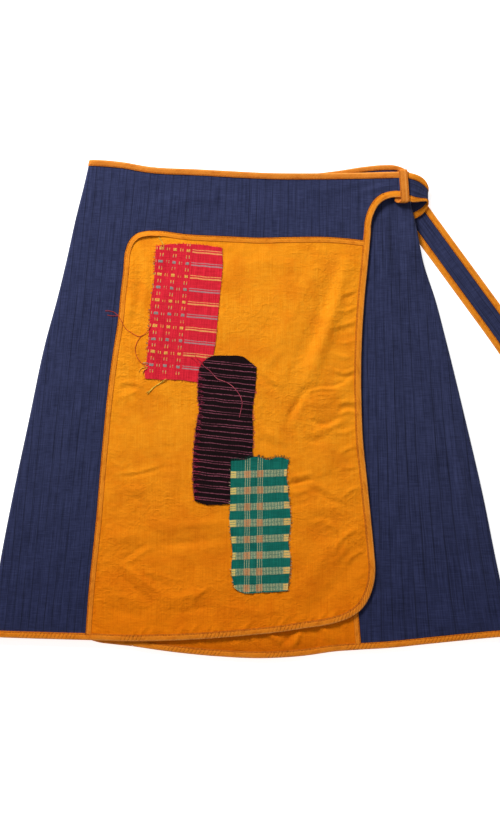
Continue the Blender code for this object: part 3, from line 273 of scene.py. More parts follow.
UNDERLAP_CREASES = [
    (1.8, 6.5, [(454, 420), (469, 516), (488, 620)]),
    (1.4, 4.0, [(447, 372), (452, 420), (461, 480), (468, 540)]),
    (-0.8, 5.0, [(461, 410), (470, 470), (480, 540)]),
    (1.2, 3.6, [(472, 528), (480, 566), (488, 606), (494, 630)]),
    (0.7, 2.6, [(424, 262), (434, 300), (444, 346), (452, 392)]),
    (-0.7, 2.6, [(416, 254), (428, 300), (440, 352), (448, 400)]),
    (-0.8, 5.0, [(438, 380), (446, 450), (456, 530), (462, 600)]),
    (1.7, 9.0, [(378, 214), (382, 250), (392, 300), (402, 350)]),
    (1.6, 4.5, [(400, 222), (412, 250), (424, 290), (438, 332), (446, 372)]),
    (-1.2, 4.0, [(410, 224), (422, 258), (434, 300), (446, 340)]),
    (1.2, 3.0, [(388, 205), (386, 228), (390, 262), (398, 300)]),
    (-0.6, 3.6, [(396, 208), (396, 236), (402, 268)]),
    (-2.4, 9.0, [(396, 200), (396, 232), (400, 270)]),
    (0.7, 8.0, [(392, 330), (396, 420), (404, 520), (410, 610)]),
    (0.6, 8.0, [(420, 350), (428, 440), (436, 540)]),
    (2.6, 2.0, [(266, 632), (280, 642), (288, 652)]),
    (2.6, 1.8, [(301, 628), (297, 640), (292, 650)]),
    (-1.4, 2.0, [(292, 628), (288, 638), (280, 648)]),
    (2.2, 2.0, [(318, 624), (330, 636), (338, 648)]),
    (-1.4, 2.4, [(312, 626), (318, 640), (314, 650)]),
    (1.2, 2.2, [(246, 632), (256, 642), (262, 653)]),
    (1.0, 2.0, [(342, 618), (346, 632), (346, 648)]),
    (0.9, 3.2, [(232, 640), (244, 650)]),
    (0.8, 3.2, [(196, 638), (206, 650)]),
    (0.8, 8.0, [(180, 300), (196, 380), (186, 470), (170, 560)]),
    (0.7, 9.0, [(260, 260), (268, 360), (262, 470), (280, 560)]),
]
BACK_CREASES = [
    (1.1, 7.0, [(440, 380), (455, 470), (470, 560), (482, 620)]),
    (0.8, 5.0, [(420, 250), (432, 330), (440, 400)]),
    (1.0, 8.0, [(120, 250), (104, 350), (84, 470), (70, 590)]),
    (0.7, 5.0, [(80, 300), (66, 400), (48, 500)]),
    (0.8, 9.0, [(230, 220), (246, 330), (238, 450), (252, 580)]),
    (0.7, 6.0, [(330, 240), (318, 340), (330, 440), (322, 540)]),
    (0.6, 3.5, [(180, 560), (205, 572), (232, 568)]),
    (0.6, 3.5, [(300, 470), (326, 462), (352, 470)]),
    (0.6, 3.5, [(150, 400), (176, 392), (196, 398)]),
]
# The cloth between the creases rises and sinks a little: height and length of each slow wave, in millimetres,
# and its direction in degrees
SLOW_WAVES = [(0.42, 61, 24), (0.34, 43, 112), (0.22, 29, 163), (0.12, 19, 71), (0.07, 13, 8)]

# A binding's section in millimetres for a binding 7 mm wide, from the inner edge of its upper flap, round
# the cut edge and back to the inner edge of its lower flap: across and lift of the outer skin, then of the
# inner one
BINDING_SECTION = [
    (7.00, 1.22, 6.96, 1.19), (6.92, 1.47, 6.80, 1.19), (6.60, 1.62, 6.50, 1.19), (6.00, 1.50, 5.95, 1.19),
    (5.35, 1.70, 5.30, 1.19), (4.40, 1.80, 4.40, 1.20), (3.20, 1.84, 3.20, 1.20), (1.60, 1.80, 1.60, 1.21),
    (0.75, 1.66, 1.00, 1.17), (0.22, 1.36, 0.70, 1.02), (0.00, 0.90, 0.60, 0.84), (0.22, 0.34, 0.70, 0.60),
    (0.75, 0.08, 1.00, 0.43), (1.60, 0.00, 1.60, 0.41), (3.20, 0.00, 3.20, 0.42), (5.30, 0.00, 5.30, 0.42),
    (6.50, 0.03, 6.50, 0.42), (7.00, 0.16, 6.96, 0.42),
]
SECTION_WIDTH = 7.0
# A tape's section for a tape 5.6 mm wide: across, upper lift and lower lift
TAPE_SECTION = [
    (0.00, 1.20, 1.17), (0.10, 1.42, 1.17), (0.45, 1.54, 1.17), (1.05, 1.45, 1.17), (1.80, 1.58, 1.17),
    (2.80, 1.62, 1.17), (3.80, 1.58, 1.17), (4.55, 1.45, 1.17), (5.15, 1.54, 1.17), (5.50, 1.42, 1.17),
    (5.60, 1.20, 1.17),
]
# Where the overlap's tape stands off the cloth: photo point, and height and reach in millimetres
TAPE_SPRUNG = ((146, 237), 2.4, 15.0)

# Colours, as they are seen in the photo


def seen(red, green, blue):
    """A colour as it is seen, 0 to 255, as the linear colour that a shader takes."""
    shares = np.array([red, green, blue]) / 255
    linear = np.where(shares <= 0.04045, shares / 12.92, ((shares + 0.055) / 1.055) ** 2.4)
    return (*(float(value) for value in linear), 1.0)


NAVY = seen(26, 31, 60)
NAVY_LIGHT = seen(57, 63, 101)
# painted shade: the navy's darker colours towards the hem, where the light falls off
NAVY_HEM_SHADE = seen(19, 24, 53)
NAVY_HEM_SHADE_LIGHT = seen(47, 53, 93)
NAVY_STRIPE = seen(12, 14, 30)
MUSTARD = seen(238, 136, 4)
MUSTARD_LIGHT = seen(255, 168, 36)
# painted shade: the mustard's darker colours towards the hem
MUSTARD_HEM_SHADE = seen(224, 108, 0)
MUSTARD_HEM_SHADE_LIGHT = seen(255, 142, 10)
MUSTARD_DEEP = seen(208, 92, 0)
# painted shade on the underlap's strip that shows below the overlap's hem
UNDERLAP_SHADE_MUSTARD = seen(192, 88, 0)
TRIM = seen(222, 123, 8)
TRIM_LIGHT = seen(250, 156, 44)
# random blotches of the dye, and painted shade in grooves, creases and drawn lines
TRIM_BLOTCH_AND_SHADE = seen(180, 80, 4)
# painted shade: a darker, browner copy of the trim for the waist bindings and the belt loop
TRIM_SHADED = seen(198, 108, 24)
TRIM_SHADED_LIGHT = seen(234, 146, 56)
# painted shade: the bindings' redder, darker colours towards the hem
TRIM_HEM_SHADE = seen(222, 117, 10)
TRIM_HEM_SHADE_LIGHT = seen(248, 149, 42)
# painted shade along a binding's seam edge
TRIM_SEAM_SHADE = seen(146, 60, 8)
# painted highlight and wear along a binding's outer fold
TRIM_HIGHLIGHT_AND_WEAR = seen(252, 176, 92)
STITCH = seen(178, 82, 12)
# seam threads beside the bindings and tapes, dark so that they also paint the shadow line there
SHADOW_SEAM_STITCH = seen(52, 26, 24)
BROWN_SHADOW_STITCH = seen(204, 104, 10)


# Curves in plan: each is a function that turns shares of its length, 0 to 1, into points


def through(points):
    """The curve of straight steps through many points."""
    points = np.asarray(points, float)
    lengths = np.concatenate([[0.0], np.cumsum(np.linalg.norm(np.diff(points, axis=0), axis=1))])

    def curve(shares):
        places = np.asarray(shares, float) * lengths[-1]
        return np.stack([np.interp(places, lengths, points[:, k]) for k in (0, 1)], axis=-1)

    curve.length = lengths[-1]
    return curve


def smooth(points, steps=12):
    """The soft curve through a few points: a cubic between each two, with slopes weighed by distance."""
    points = np.asarray(points, float)
    spans = np.linalg.norm(np.diff(points, axis=0), axis=1)[:, None]
    slopes = np.diff(points, axis=0) / spans
    inner = (slopes[:-1] * spans[1:] + slopes[1:] * spans[:-1]) / (spans[:-1] + spans[1:])
    ways = np.concatenate([slopes[:1], inner, slopes[-1:]])
    along = []
    for start, end, way, next_way, span in zip(points, points[1:], ways, ways[1:], spans):
        for t in np.arange(steps) / steps:
            along.append((1 + 2 * t) * (1 - t) ** 2 * start + t * (1 - t) ** 2 * span * way
                         + t * t * (3 - 2 * t) * end + t * t * (t - 1) * span * next_way)
    return through([*along, points[-1]])


def part_of(curve, start, end):
    return through(curve(np.linspace(start, end, 400)))


def joined(*curves):
    """Several curves end to end as one."""
    return through(np.concatenate([curve(np.linspace(0, 1, 300)) for curve in curves]))


def backwards(curve):
    return part_of(curve, 1, 0)


def line(start, end):
    return through([start, end])


def beside(curve, distance):
    """The curve moved sideways, to the left of its direction for a positive distance."""
    shares = np.linspace(0, 1, 400)
    step = 0.002
    way = curve(np.minimum(shares + step, 1)) - curve(np.maximum(shares - step, 0))
    way /= np.linalg.norm(way, axis=1, keepdims=True)
    return through(curve(shares) + distance * np.stack([-way[:, 1], way[:, 0]], axis=1))


def share_at(curve, axis, value):
    """How far along a curve it first reaches this x (axis 0) or y (axis 1)."""
    shares = np.linspace(0, 1, 1600)
    past = curve(shares)[:, axis] - value
    crossings = np.nonzero(np.sign(past[:-1]) != np.sign(past[1:]))[0]
    if not len(crossings):
        return float(shares[np.abs(past).argmin()])
    first = crossings[0]
    return float(shares[first] + (shares[1] - shares[0]) * past[first] / (past[first] - past[first + 1]))


def point_at(curve, axis, value):
    return curve(share_at(curve, axis, value))


def height_at(curve, x):
    return float(point_at(curve, 0, x)[1])


def piece_between(curve, start_x, end_x):
    return part_of(curve, share_at(curve, 0, start_x), share_at(curve, 0, end_x))


def ramp(value):
    """From 0 to 1 with soft ends."""
    value = np.clip(value, 0, 1)
    return value * value * (3 - 2 * value)


def from_photo(points):
    """Plan points from photo pixels."""
    points = np.asarray(points, float)
    return np.stack([points[:, 0] - PLAN_ZERO[0], PLAN_ZERO[1] - points[:, 1]], axis=1) * PIXEL


def even(length, step, least=2):
    """Even shares of a length, with steps about this long."""
    return np.linspace(0, 1, max(least, round(length / step)) + 1)


def distance_to(route, points):
    """How far each point is from a route of straight steps, and where on the route it is nearest, 0 to 1."""
    best, share = np.full(len(points), np.inf), np.zeros(len(points))
    for number, (start, end) in enumerate(zip(route, route[1:])):
        way = end - start
        along = np.clip((points - start) @ way / max(way @ way, 1e-12), 0, 1)
        away = np.linalg.norm(start + along[:, None] * way - points, axis=1)
        nearer = away < best
        best = np.where(nearer, away, best)
        share = np.where(nearer, (number + along) / (len(route) - 1), share)
    return best, share


# The layers of the laid skirt

FOLD_TABLES = {-1: smooth(LEFT_FOLD)(np.linspace(0, 1, 400)), 1: smooth(RIGHT_FOLD)(np.linspace(0, 1, 400))}


def fold_x(side, y):
    """Where the side fold is widest, at a height on the skirt."""
    table = FOLD_TABLES[side]
    return np.interp(y, table[:, 1], table[:, 0])


def creased(creases):
    """Each crease with its route as a soft line in plan and its sizes in metres."""
    return [(height * MM, spread * MM, smooth(from_photo(route))(np.linspace(0, 1, 14)))
            for height, spread, route in creases]


def gathers(table, seed):
    """Short creases that the stitching draws up along seams: each starts at its seam and leans off it."""
    rng = np.random.default_rng(seed)
    made = []
    for seam, count, reach, lean, height, spread in table:
        shares = (np.arange(count) + rng.uniform(0.1, 0.9, count)) / count
        for start, size in zip(smooth(seam)(shares), rng.uniform(0.3, 1.0, count)):
            way = np.array(lean) * reach * size
            made.append((height * size, spread, [start - 0.4 * way, start + 0.3 * way, start + way]))
    return made


def crease_height(creases, points):
    """How much the creases raise the cloth; they die away at their ends and beside the side folds."""
    height = np.zeros(len(points))
    for rise, spread, route in creases:
        reach = 3 * spread
        near = np.all((points > route.min(axis=0) - reach) & (points < route.max(axis=0) + reach), axis=1)
        if near.any():
            away, share = distance_to(route, points[near])
            height[near] += rise * np.exp(-(away / spread) ** 2) * np.sin(math.pi * share) ** 0.7
    x, y = points.T
    edge = np.minimum(x - fold_x(-1, y), fold_x(1, y) - x)
    return height * ramp(edge / FOLD_CLEARANCE - 0.5)


def slow_waves(points):
    """Soft unevenness of the cloth, never below zero."""
    height = np.zeros(len(points))
    for number, (rise, length, direction) in enumerate(SLOW_WAVES):
        way = np.array([math.cos(math.radians(direction)), math.sin(math.radians(direction))])
        bend = 0.8 * np.sin(points @ way[::-1] / (length * MM) * 1.7 + number)
        swing = np.sin(points @ way * math.tau / (length * MM) + bend + 2 * number)
        height += rise * MM * (0.5 + 0.5 * swing)
    return height


def tie_lift(points):
    away, _ = distance_to(np.array(TIE_BENEATH), points)
    return TIE_LIFT * ramp(1 - (away - TIE_LIFT_FLAT) / TIE_LIFT_REACH)


def fold_spring(points):
    x, y = points.T
    start, end = FOLD_SPRING_REACH
    return FOLD_SPRING * ramp((x - fold_x(1, y) + start) / (start - end))


def loop_climb(points):
    from_left, from_below = ramp((points - LOOP_CLIMB_START) / LOOP_CLIMB_LENGTH).T
    return LOOP_LIFT * from_left * from_below


LEFT_RADIUS = OVERLAP_HEIGHT / 2
RIGHT_RADIUS = (UNDERLAP_HEIGHT + FOLD_SPRING) / 2
LEAST_APART = 0.00085
BACK = {
    "base": 0.0, "rise": None, "beneath": None, "creases": creased(BACK_CREASES),
    "rolls": {-1: LEFT_RADIUS, 1: RIGHT_RADIUS}, "outside": -1,
}
UNDERLAP = {
    "base": UNDERLAP_HEIGHT, "rise": fold_spring, "beneath": BACK, "creases": creased(UNDERLAP_CREASES),
    "rolls": {1: RIGHT_RADIUS}, "outside": 1,
}
OVERLAP = {
    "base": OVERLAP_HEIGHT, "rise": loop_climb, "beneath": UNDERLAP,
    "creases": creased(OVERLAP_CREASES + gathers(OVERLAP_GATHERS, seed=21)),
    "rolls": {-1: LEFT_RADIUS}, "outside": 1,
}


def layer_height(layer, points):
    """Height of a layer's underside at plan points; its creases stay above the layer beneath."""
    height = layer["base"] + tie_lift(points) + crease_height(layer["creases"], points)
    if layer["rise"]:
        height = height + layer["rise"](points)
    x, y = points.T
    edge = np.minimum(x - fold_x(-1, y), fold_x(1, y) - x)
    height = height + slow_waves(points) * ramp(edge / FOLD_CLEARANCE)
    if layer["beneath"]:
        height = np.maximum(height, layer_height(layer["beneath"], points) + LEAST_APART)
    return height


def turn_x(side, radius, y):
    """Where the flat cloth starts to roll round a side fold."""
    return fold_x(side, y) - side * (radius + CLOTH / 2)


def seam_x(side, radius, y):
    """Where the side seam would lie if the roll were opened flat."""
    return turn_x(side, radius, y) + side * (radius * math.pi / 2 - SEAM / 2)


def on_layer(layer):
    """Puts points of a flat piece on its layer, and rolls them round the side folds."""

    def place(points):
        plan, lift = points[:, :2], points[:, 2]
        placed = np.column_stack([plan, layer_height(layer, plan) + lift])
        outside = layer["outside"]
        for side, radius in layer["rolls"].items():
            turn = turn_x(side, radius, plan[:, 1])
            angle = side * (plan[:, 0] - turn) / radius
            middle = layer_height(layer, np.column_stack([turn, plan[:, 1]])) + CLOTH / 2
            reach = radius + outside * (lift - CLOTH / 2)
            rolled = np.column_stack([turn + side * reach * np.sin(angle), plan[:, 1],
                                      middle - outside * radius + outside * reach * np.cos(angle)])
            placed = np.where(angle[:, None] > 0, rolled, placed)
        return placed

    return place


# Cloth pieces


# Leaning stripes keep their own place at this height, and those of some panels don't lean
STRIPES_MEET_Y = 0.500
NO_LEAN = (0.0, 1.0, 0.0)


def grain(plan, leans):
    """Cloth coordinates of a panel: across and along its stripes, which lean where the skirt flares."""
    start, end, lean = leans
    x, y = plan[..., 0], plan[..., 1]
    slope = lean * ramp((x - start) / (end - start))
    return np.stack([x + slope * (STRIPES_MEET_Y - y), y], axis=-1) / MM


def stretch(left, right, bottom, top, columns, rows, leans=NO_LEAN):
    """A four-sided stretch of woven cloth between four lines, which run to the right or up."""
    u, v = columns[None, :, None], rows[:, None, None]
    sides = left(rows)[:, None], right(rows)[:, None]
    ends = bottom(columns)[None], top(columns)[None]
    corners = [ends[k][0, j] for k, j in ((0, 0), (0, -1), (1, 0), (1, -1))]
    plan = (1 - u) * sides[0] + u * sides[1] + (1 - v) * ends[0] + v * ends[1]
    plan = plan - ((1 - u) * (1 - v) * corners[0] + u * (1 - v) * corners[1]
                   + (1 - u) * v * corners[2] + u * v * corners[3])
    under, over = (np.dstack([plan, np.full(plan.shape[:2], lift)]) for lift in WOVEN)
    return {"under": under, "over": over, "cloth": grain(plan, leans)}


def uneven(along, seed):
    """A slow, uneven swing between -1 and 1 along an edge, in millimetres."""
    return (np.sin(along / 11.3 + 2.1 * seed) + np.sin(along / 4.7 + 1.3 * seed)
            + np.sin(along / 27.1 + 0.7 * seed)) / 3


def pucker(along, across, seed):
    """Small slanting ripples that the stitching draws into a bias strip, about -1 to 1."""
    slanted = along + 0.55 * across
    return (np.sin(slanted / 0.86 + 3 * uneven(along, seed)) * (0.55 + 0.45 * uneven(along, seed + 2))
            + 0.5 * np.sin(slanted / 0.49 + 2.0 * seed) * uneven(along, seed + 4))


# The steps along a strip, in metres, and how high its stitches ripple a tape, in millimetres
STRIP_STEP = 0.0018
TAPE_RIPPLE = 0.10


def slanted_to_fold(plan, edge_points, rolls):
    """Points of a binding near a side fold, moved so that its rows run along the fold."""
    for side in rolls:
        outer_x, outer_y = edge_points[:, 0], edge_points[:, 1]
        near = ramp(1 - np.abs(outer_x - fold_x(side, outer_y)) / SLANT_REACH)
        slanted = outer_x + fold_x(side, plan[:, 1]) - fold_x(side, outer_y)
        plan[:, 0] += near * (slanted - plan[:, 0])
    return plan


def strip_of(under, over, cloth):
    """A long stretch from the lines along it: its two skins and its cloth coordinates."""
    return {"under": np.stack(under, axis=1), "over": np.stack(over, axis=1),
            "cloth": np.stack(cloth, axis=1)}


def along_edge(edge, across, shares, rolls=()):
    """Plan points at this distance inside an edge; its inner side is to the left of its direction."""
    plan = beside(edge, across)(shares) if across else edge(shares)
    return slanted_to_fold(plan, edge(shares), rolls)


def binding(edge, width, rolls=(), seed=1, ripple=0.16, shares=None):
    """A strip folded round an edge and stitched down; the edge's inner side is to its left."""
    shares = even(edge.length, STRIP_STEP) if shares is None else shares
    along = shares * edge.length / MM
    scale = width / MM / SECTION_WIDTH
    under, over, cloth, folded = [], [], [], 0.0
    before = BINDING_SECTION[0][:2]
    for out_across, out_lift, in_across, in_lift in BINDING_SECTION:
        folded += math.dist((out_across, out_lift), before)
        before = (out_across, out_lift)
        raised = max(0.0, min(1.0, (out_lift - 1.1) / 0.4)) * ripple * pucker(along, out_across, seed)
        for skin, across, lift in ((over, out_across, out_lift + raised), (under, in_across, in_lift)):
            plan = along_edge(edge, across * scale * MM, shares, rolls)
            skin.append(np.column_stack([plan, np.broadcast_to(lift * MM, len(shares))]))
        cloth.append(np.column_stack([np.full(len(shares), folded), along]))
    return strip_of(under, over, cloth)


def tape(edge, seed, sprung=None):
    """A flat tape with turned edges, sewn over a seam; it lies to the left of its outer edge.

    Where it is sprung, its inner side stands off the cloth: photo point, height and reach in millimetres.
    """
    shares = even(edge.length, STRIP_STEP)
    along = shares * edge.length / MM
    spring = np.zeros(len(shares))
    if sprung:
        middle, height, reach = sprung
        away = np.linalg.norm(edge(shares) - from_photo([middle])[0], axis=1) / MM
        spring = height * np.exp(-(away / reach) ** 2)
    under, over, cloth = [], [], []
    for across, high, low in TAPE_SECTION:
        plan = along_edge(edge, across * MM, shares)
        raised = spring * across / TAPE_SECTION[-1][0]
        rippled = TAPE_RIPPLE * pucker(along, across, seed) if high > 1.3 else 0.0
        over.append(np.column_stack([plan, (high + raised + rippled) * MM]))
        under.append(np.column_stack([plan, (low + raised) * MM]))
        cloth.append(np.column_stack([np.full(len(shares), across), along]))
    return strip_of(under, over, cloth)


def sewn(name, stretches, place, finish):
    """One closed thin piece: its stretches are joined, given their two skins, and put in their place."""
    skins = {side: np.concatenate([each[side].reshape(-1, 3) for each in stretches])
             for side in ("under", "over")}
    cloth = np.concatenate([each["cloth"].reshape(-1, 2) for each in stretches])
    mesh = bmesh.new()
    number_in_piece = mesh.verts.layers.int.new("number")
    first = 0
    for each in stretches:
        rows, columns = each["cloth"].shape[:2]
        grid = bmesh.ops.create_grid(mesh, x_segments=columns - 1, y_segments=rows - 1, size=0.5)["verts"]
        for number, corner in enumerate(grid, first):
            corner[number_in_piece] = number
            corner.co = skins["under"][number]
        first += rows * columns
    bmesh.ops.remove_doubles(mesh, verts=mesh.verts, dist=2e-5)
    bmesh.ops.recalc_face_normals(mesh, faces=mesh.faces)
    underside = set(mesh.verts)
    bmesh.ops.extrude_face_region(mesh, geom=mesh.faces[:], use_keep_orig=True)
    numbers = np.array([corner[number_in_piece] for corner in mesh.verts])
    lower = np.array([corner in underside for corner in mesh.verts])
    points = place(np.where(lower[:, None], skins["under"][numbers], skins["over"][numbers])) + TO_FRAME
    for corner, point in zip(mesh.verts, points):
        corner.co = point
    bmesh.ops.recalc_face_normals(mesh, faces=mesh.faces)
    made = as_object(name, mesh, finish)
    weave = made.data.attributes.new("cloth", "FLOAT_VECTOR", "POINT")
    weave.data.foreach_set("vector", np.column_stack([cloth[numbers], np.zeros(len(numbers))]).ravel())
    return made


def as_object(name, mesh, finish):
    data = bpy.data.meshes.new(name)
    mesh.to_mesh(data)
    mesh.free()
    data.shade_smooth()
    data.set_sharp_from_angle(angle=math.radians(60))
    data.materials.append(finish)
    made = bpy.data.objects.new(name, data)
    bpy.context.collection.objects.link(made)
    return made


def strands(name, routes, radius, finish, tapered=False):
    """Threads as round strands, each along a route of points in the frame."""
    curve = bpy.data.curves.new(name, "CURVE")
    curve.dimensions = "3D"
    curve.bevel_depth = radius
    curve.bevel_resolution = 1
    curve.use_fill_caps = True
    for route in routes:
        spline = curve.splines.new("POLY")
        spline.points.add(len(route) - 1)
        for place, (x, y, z) in zip(spline.points, route):
            place.co = (x, y, z, 1)
        if tapered:
            spline.points[-1].radius = 0.35
    curve.materials.append(finish)
    made = bpy.data.objects.new(name, curve)
    bpy.context.collection.objects.link(made)
    return made


# Finishes: small sums of shader nodes, in the cloth coordinates of each piece


class Field:
    """A value that varies over the cloth. Sums of fields and numbers make the nodes for them."""

    def __init__(self, tree, socket):
        self.tree, self.socket = tree, socket

    def of(self, operation, *others):
        node = self.tree.nodes.new("ShaderNodeMath")
        node.operation = operation
        for socket, value in zip(node.inputs, (self, *others)):
            plug(socket, value)
        return Field(self.tree, node.outputs[0])

    def __add__(self, other):
        return self.of("ADD", other)

    def __sub__(self, other):
        return self.of("SUBTRACT", other)

    def __mul__(self, other):
        return self.of("MULTIPLY", other)

    def repeated(self, length):
        """The way from the middle of the nearest repeat, from minus half to half of its length."""
        return self.of("WRAP", length / 2, -length / 2)

    def ranged(self, start, end, first, last):
        """From a first value to a last one, softly, while the field goes from a start to an end."""
        node = self.tree.nodes.new("ShaderNodeMapRange")
        node.interpolation_type = "SMOOTHSTEP"
        values = {"Value": self, "From Min": start, "From Max": end, "To Min": first, "To Max": last}
        for name, value in values.items():
            plug(node.inputs[name], value)
        return Field(self.tree, node.outputs["Result"])

    def within(self, half, soft):
        """1 where the field is within this of zero, falling softly to 0."""
        return self.of("ABSOLUTE").ranged(half - soft / 2, half + soft / 2, 1, 0)

    def over(self, start, end):
        """0 below the start, 1 above the end and soft between."""
        return self.ranged(start, end, 0, 1)

    def below(self, start, end):
        """1 below the start, 0 above the end and soft between."""
        return self.ranged(start, end, 1, 0)


def plug(socket, value):
    """Joins a field to a socket, or sets the socket to a number or colour."""
    if isinstance(value, Field):
        value.tree.links.new(value.socket, socket)
    else:
        socket.default_value = value


def cloth_coordinates(tree):
    """Millimetres across and along the weave."""
    node = tree.nodes.new("ShaderNodeAttribute")
    node.attribute_name = "cloth"
    parts = tree.nodes.new("ShaderNodeSeparateXYZ")
    tree.links.new(node.outputs["Vector"], parts.inputs[0])
    return Field(tree, parts.outputs["X"]), Field(tree, parts.outputs["Y"])


def from_hem(tree):
    """The way up the laid garment, in metres from its middle."""
    place = tree.nodes.new("ShaderNodeTexCoord")
    parts = tree.nodes.new("ShaderNodeSeparateXYZ")
    tree.links.new(place.outputs["Object"], parts.inputs[0])
    return Field(tree, parts.outputs["Y"])


def noise(across, along, detail=2.0, seed=0.0):
    """Uneven shade between 0 and 1 over the cloth."""
    tree = across.tree
    place = tree.nodes.new("ShaderNodeCombineXYZ")
    for socket, value in zip(place.inputs, (across, along, seed)):
        plug(socket, value)
    node = tree.nodes.new("ShaderNodeTexNoise")
    node.inputs["Scale"].default_value = 1.0
    node.inputs["Detail"].default_value = detail
    tree.links.new(place.outputs[0], node.inputs["Vector"])
    return Field(tree, node.outputs["Fac"])


def mixed(share, first, second):
    """A share, 0 to 1, of the way from the first colour to the second; any of them can be a field."""
    tree = next(each.tree for each in (share, first, second) if isinstance(each, Field))
    node = tree.nodes.new("ShaderNodeMix")
    node.data_type = "RGBA"
    for number, value in ((0, share), (6, first), (7, second)):
        plug(node.inputs[number], value)
    return Field(tree, node.outputs[2])


def largest(fields):
    """The greatest of several fields."""
    first, *rest = fields
    for each in rest:
        first = first.of("MAXIMUM", each)
    return first


def weave_group():
    """Plain weave: height of the crossing threads, thick and thin yarns, and the tone that they give."""
    tree = bpy.data.node_groups.new("plain_weave", "ShaderNodeTree")
    for name, value in (("Across", 0.0), ("Along", 0.0), ("Thread", 0.5), ("Slubs", 0.5)):
        socket = tree.interface.new_socket(name, in_out="INPUT", socket_type="NodeSocketFloat")
        socket.default_value = value
    for name in ("Height", "Tone"):
        tree.interface.new_socket(name, in_out="OUTPUT", socket_type="NodeSocketFloat")
    inputs = tree.nodes.new("NodeGroupInput")
    across, along, thread, slubs = (Field(tree, output) for output in inputs.outputs[:4])
    warp = (across.of("DIVIDE", thread) * math.pi).of("SINE")
    weft = (along.of("DIVIDE", thread) * math.pi).of("SINE")
    crossing = (warp * weft).of("ABSOLUTE").of("POWER", 0.6)
    upright = noise(across * 1.15, along * 0.028, 4.0, 1.0)
    level = noise(across * 0.085, along * 1.15, 4.0, 2.0)
    cloudy = noise(across * 0.11, along * 0.11, 2.0, 3.0)
    yarns = upright * 0.58 + level * 0.42 - 0.5
    checker = (warp * weft).over(-0.15, 0.15) - 0.5
    tone = yarns * slubs * 3.0 + checker * 0.20 + (cloudy - 0.5) * 0.4 + 0.5
    height = crossing * 0.6 + (yarns * slubs + 0.5) * 0.8
    outputs = tree.nodes.new("NodeGroupOutput")
    plug(outputs.inputs["Height"], height)
    plug(outputs.inputs["Tone"], tone.of("MAXIMUM", 0.0).of("MINIMUM", 1.0))
    return tree


PLAIN_WEAVE = weave_group()


def woven(across, along, thread, slubs):
    """Height and tone of the plain weave group at these cloth coordinates."""
    node = across.tree.nodes.new("ShaderNodeGroup")
    node.node_tree = PLAIN_WEAVE
    for name, value in (("Across", across), ("Along", along), ("Thread", thread), ("Slubs", slubs)):
        plug(node.inputs[name], value)
    return Field(across.tree, node.outputs["Height"]), Field(across.tree, node.outputs["Tone"])


def matte(name, roughness, sheen, shine=0.12):
    """A new matte cloth finish; returns it with its node tree and shader."""
    made = bpy.data.materials.new(name)
    made.use_nodes = True
    shader = made.node_tree.nodes["Principled BSDF"]
    shader.inputs["Roughness"].default_value = roughness
    shader.inputs["Sheen Weight"].default_value = sheen
    shader.inputs["Sheen Roughness"].default_value = 0.5
    shader.inputs["Specular IOR Level"].default_value = shine
    return made, made.node_tree, shader


def textured(shader, height, depth):
    """Raises the threads of a finish: its height field, 0 to 1, and what 1 is in metres."""
    node = height.tree.nodes.new("ShaderNodeBump")
    node.inputs["Strength"].default_value = 1.0
    node.inputs["Distance"].default_value = depth
    plug(node.inputs["Height"], height)
    height.tree.links.new(node.outputs["Normal"], shader.inputs["Normal"])


# The navy's stripes repeat at this pitch, in millimetres, with a twin beside every second one
NAVY_PITCH = 8.1
# Between these heights in the frame, in metres, the navy turns from its painted shade at the hem to its own
# colour
NAVY_SHADE_HEIGHTS = (-0.28, 0.0)


def navy_cloth():
    """Slubby indigo cotton with dark pinstripes, strong and faint by turns."""
    made, tree, shader = matte("navy_cotton", 0.82, 0.12)
    across, along = cloth_coordinates(tree)
    wander = noise(along * 0.02, across * 0.05, 1.0, 7.0) - 0.5
    height, tone = woven(across, along, 0.55, 1.0)
    strength = noise(across * 0.11, along * 0.012, 2.0, 9.0).over(0.30, 0.62)
    main = (across + wander * 1.6).repeated(NAVY_PITCH).within(0.42, 0.7)
    twin = (across + wander * 1.6 - 1.5).repeated(2 * NAVY_PITCH).within(0.26, 0.5)
    fine = (across + wander * 0.8 - 4.3).repeated(NAVY_PITCH).within(0.22, 0.5)
    stripes = largest([main * (strength * 0.50 + 0.16), twin * strength * 0.36, fine * 0.18])
    light_slubs = noise(across * 0.06, along * 0.75, 2.0, 4.0).over(0.58, 0.72)
    dark_slubs = noise(across * 0.08, along * 0.70, 2.0, 5.0).over(0.60, 0.72)
    # painted shade: darker towards the hem
    above_hem = from_hem(tree).over(*NAVY_SHADE_HEIGHTS)
    base = mixed(tone, mixed(above_hem, NAVY_HEM_SHADE, NAVY), mixed(above_hem, NAVY_HEM_SHADE_LIGHT, NAVY_LIGHT))
    slubbed = mixed(light_slubs * 0.40, base, NAVY_LIGHT)
    colour = mixed(stripes.of("MAXIMUM", dark_slubs * 0.30), slubbed, NAVY_STRIPE)
    plug(shader.inputs["Base Color"], colour)
    textured(shader, height + light_slubs * 0.2 - main * 0.3, 0.00016)
    return made


# Up the mustard panels, in millimetres: where the painted shade towards the hem gives way to the cloth's own
# colour, and where the strip of the underlap that lies in shade, painted darker, ends
MUSTARD_SHADE_RANGE = (-12.0, 300.0)
SHADED_MUSTARD = (2.0, 26.0)


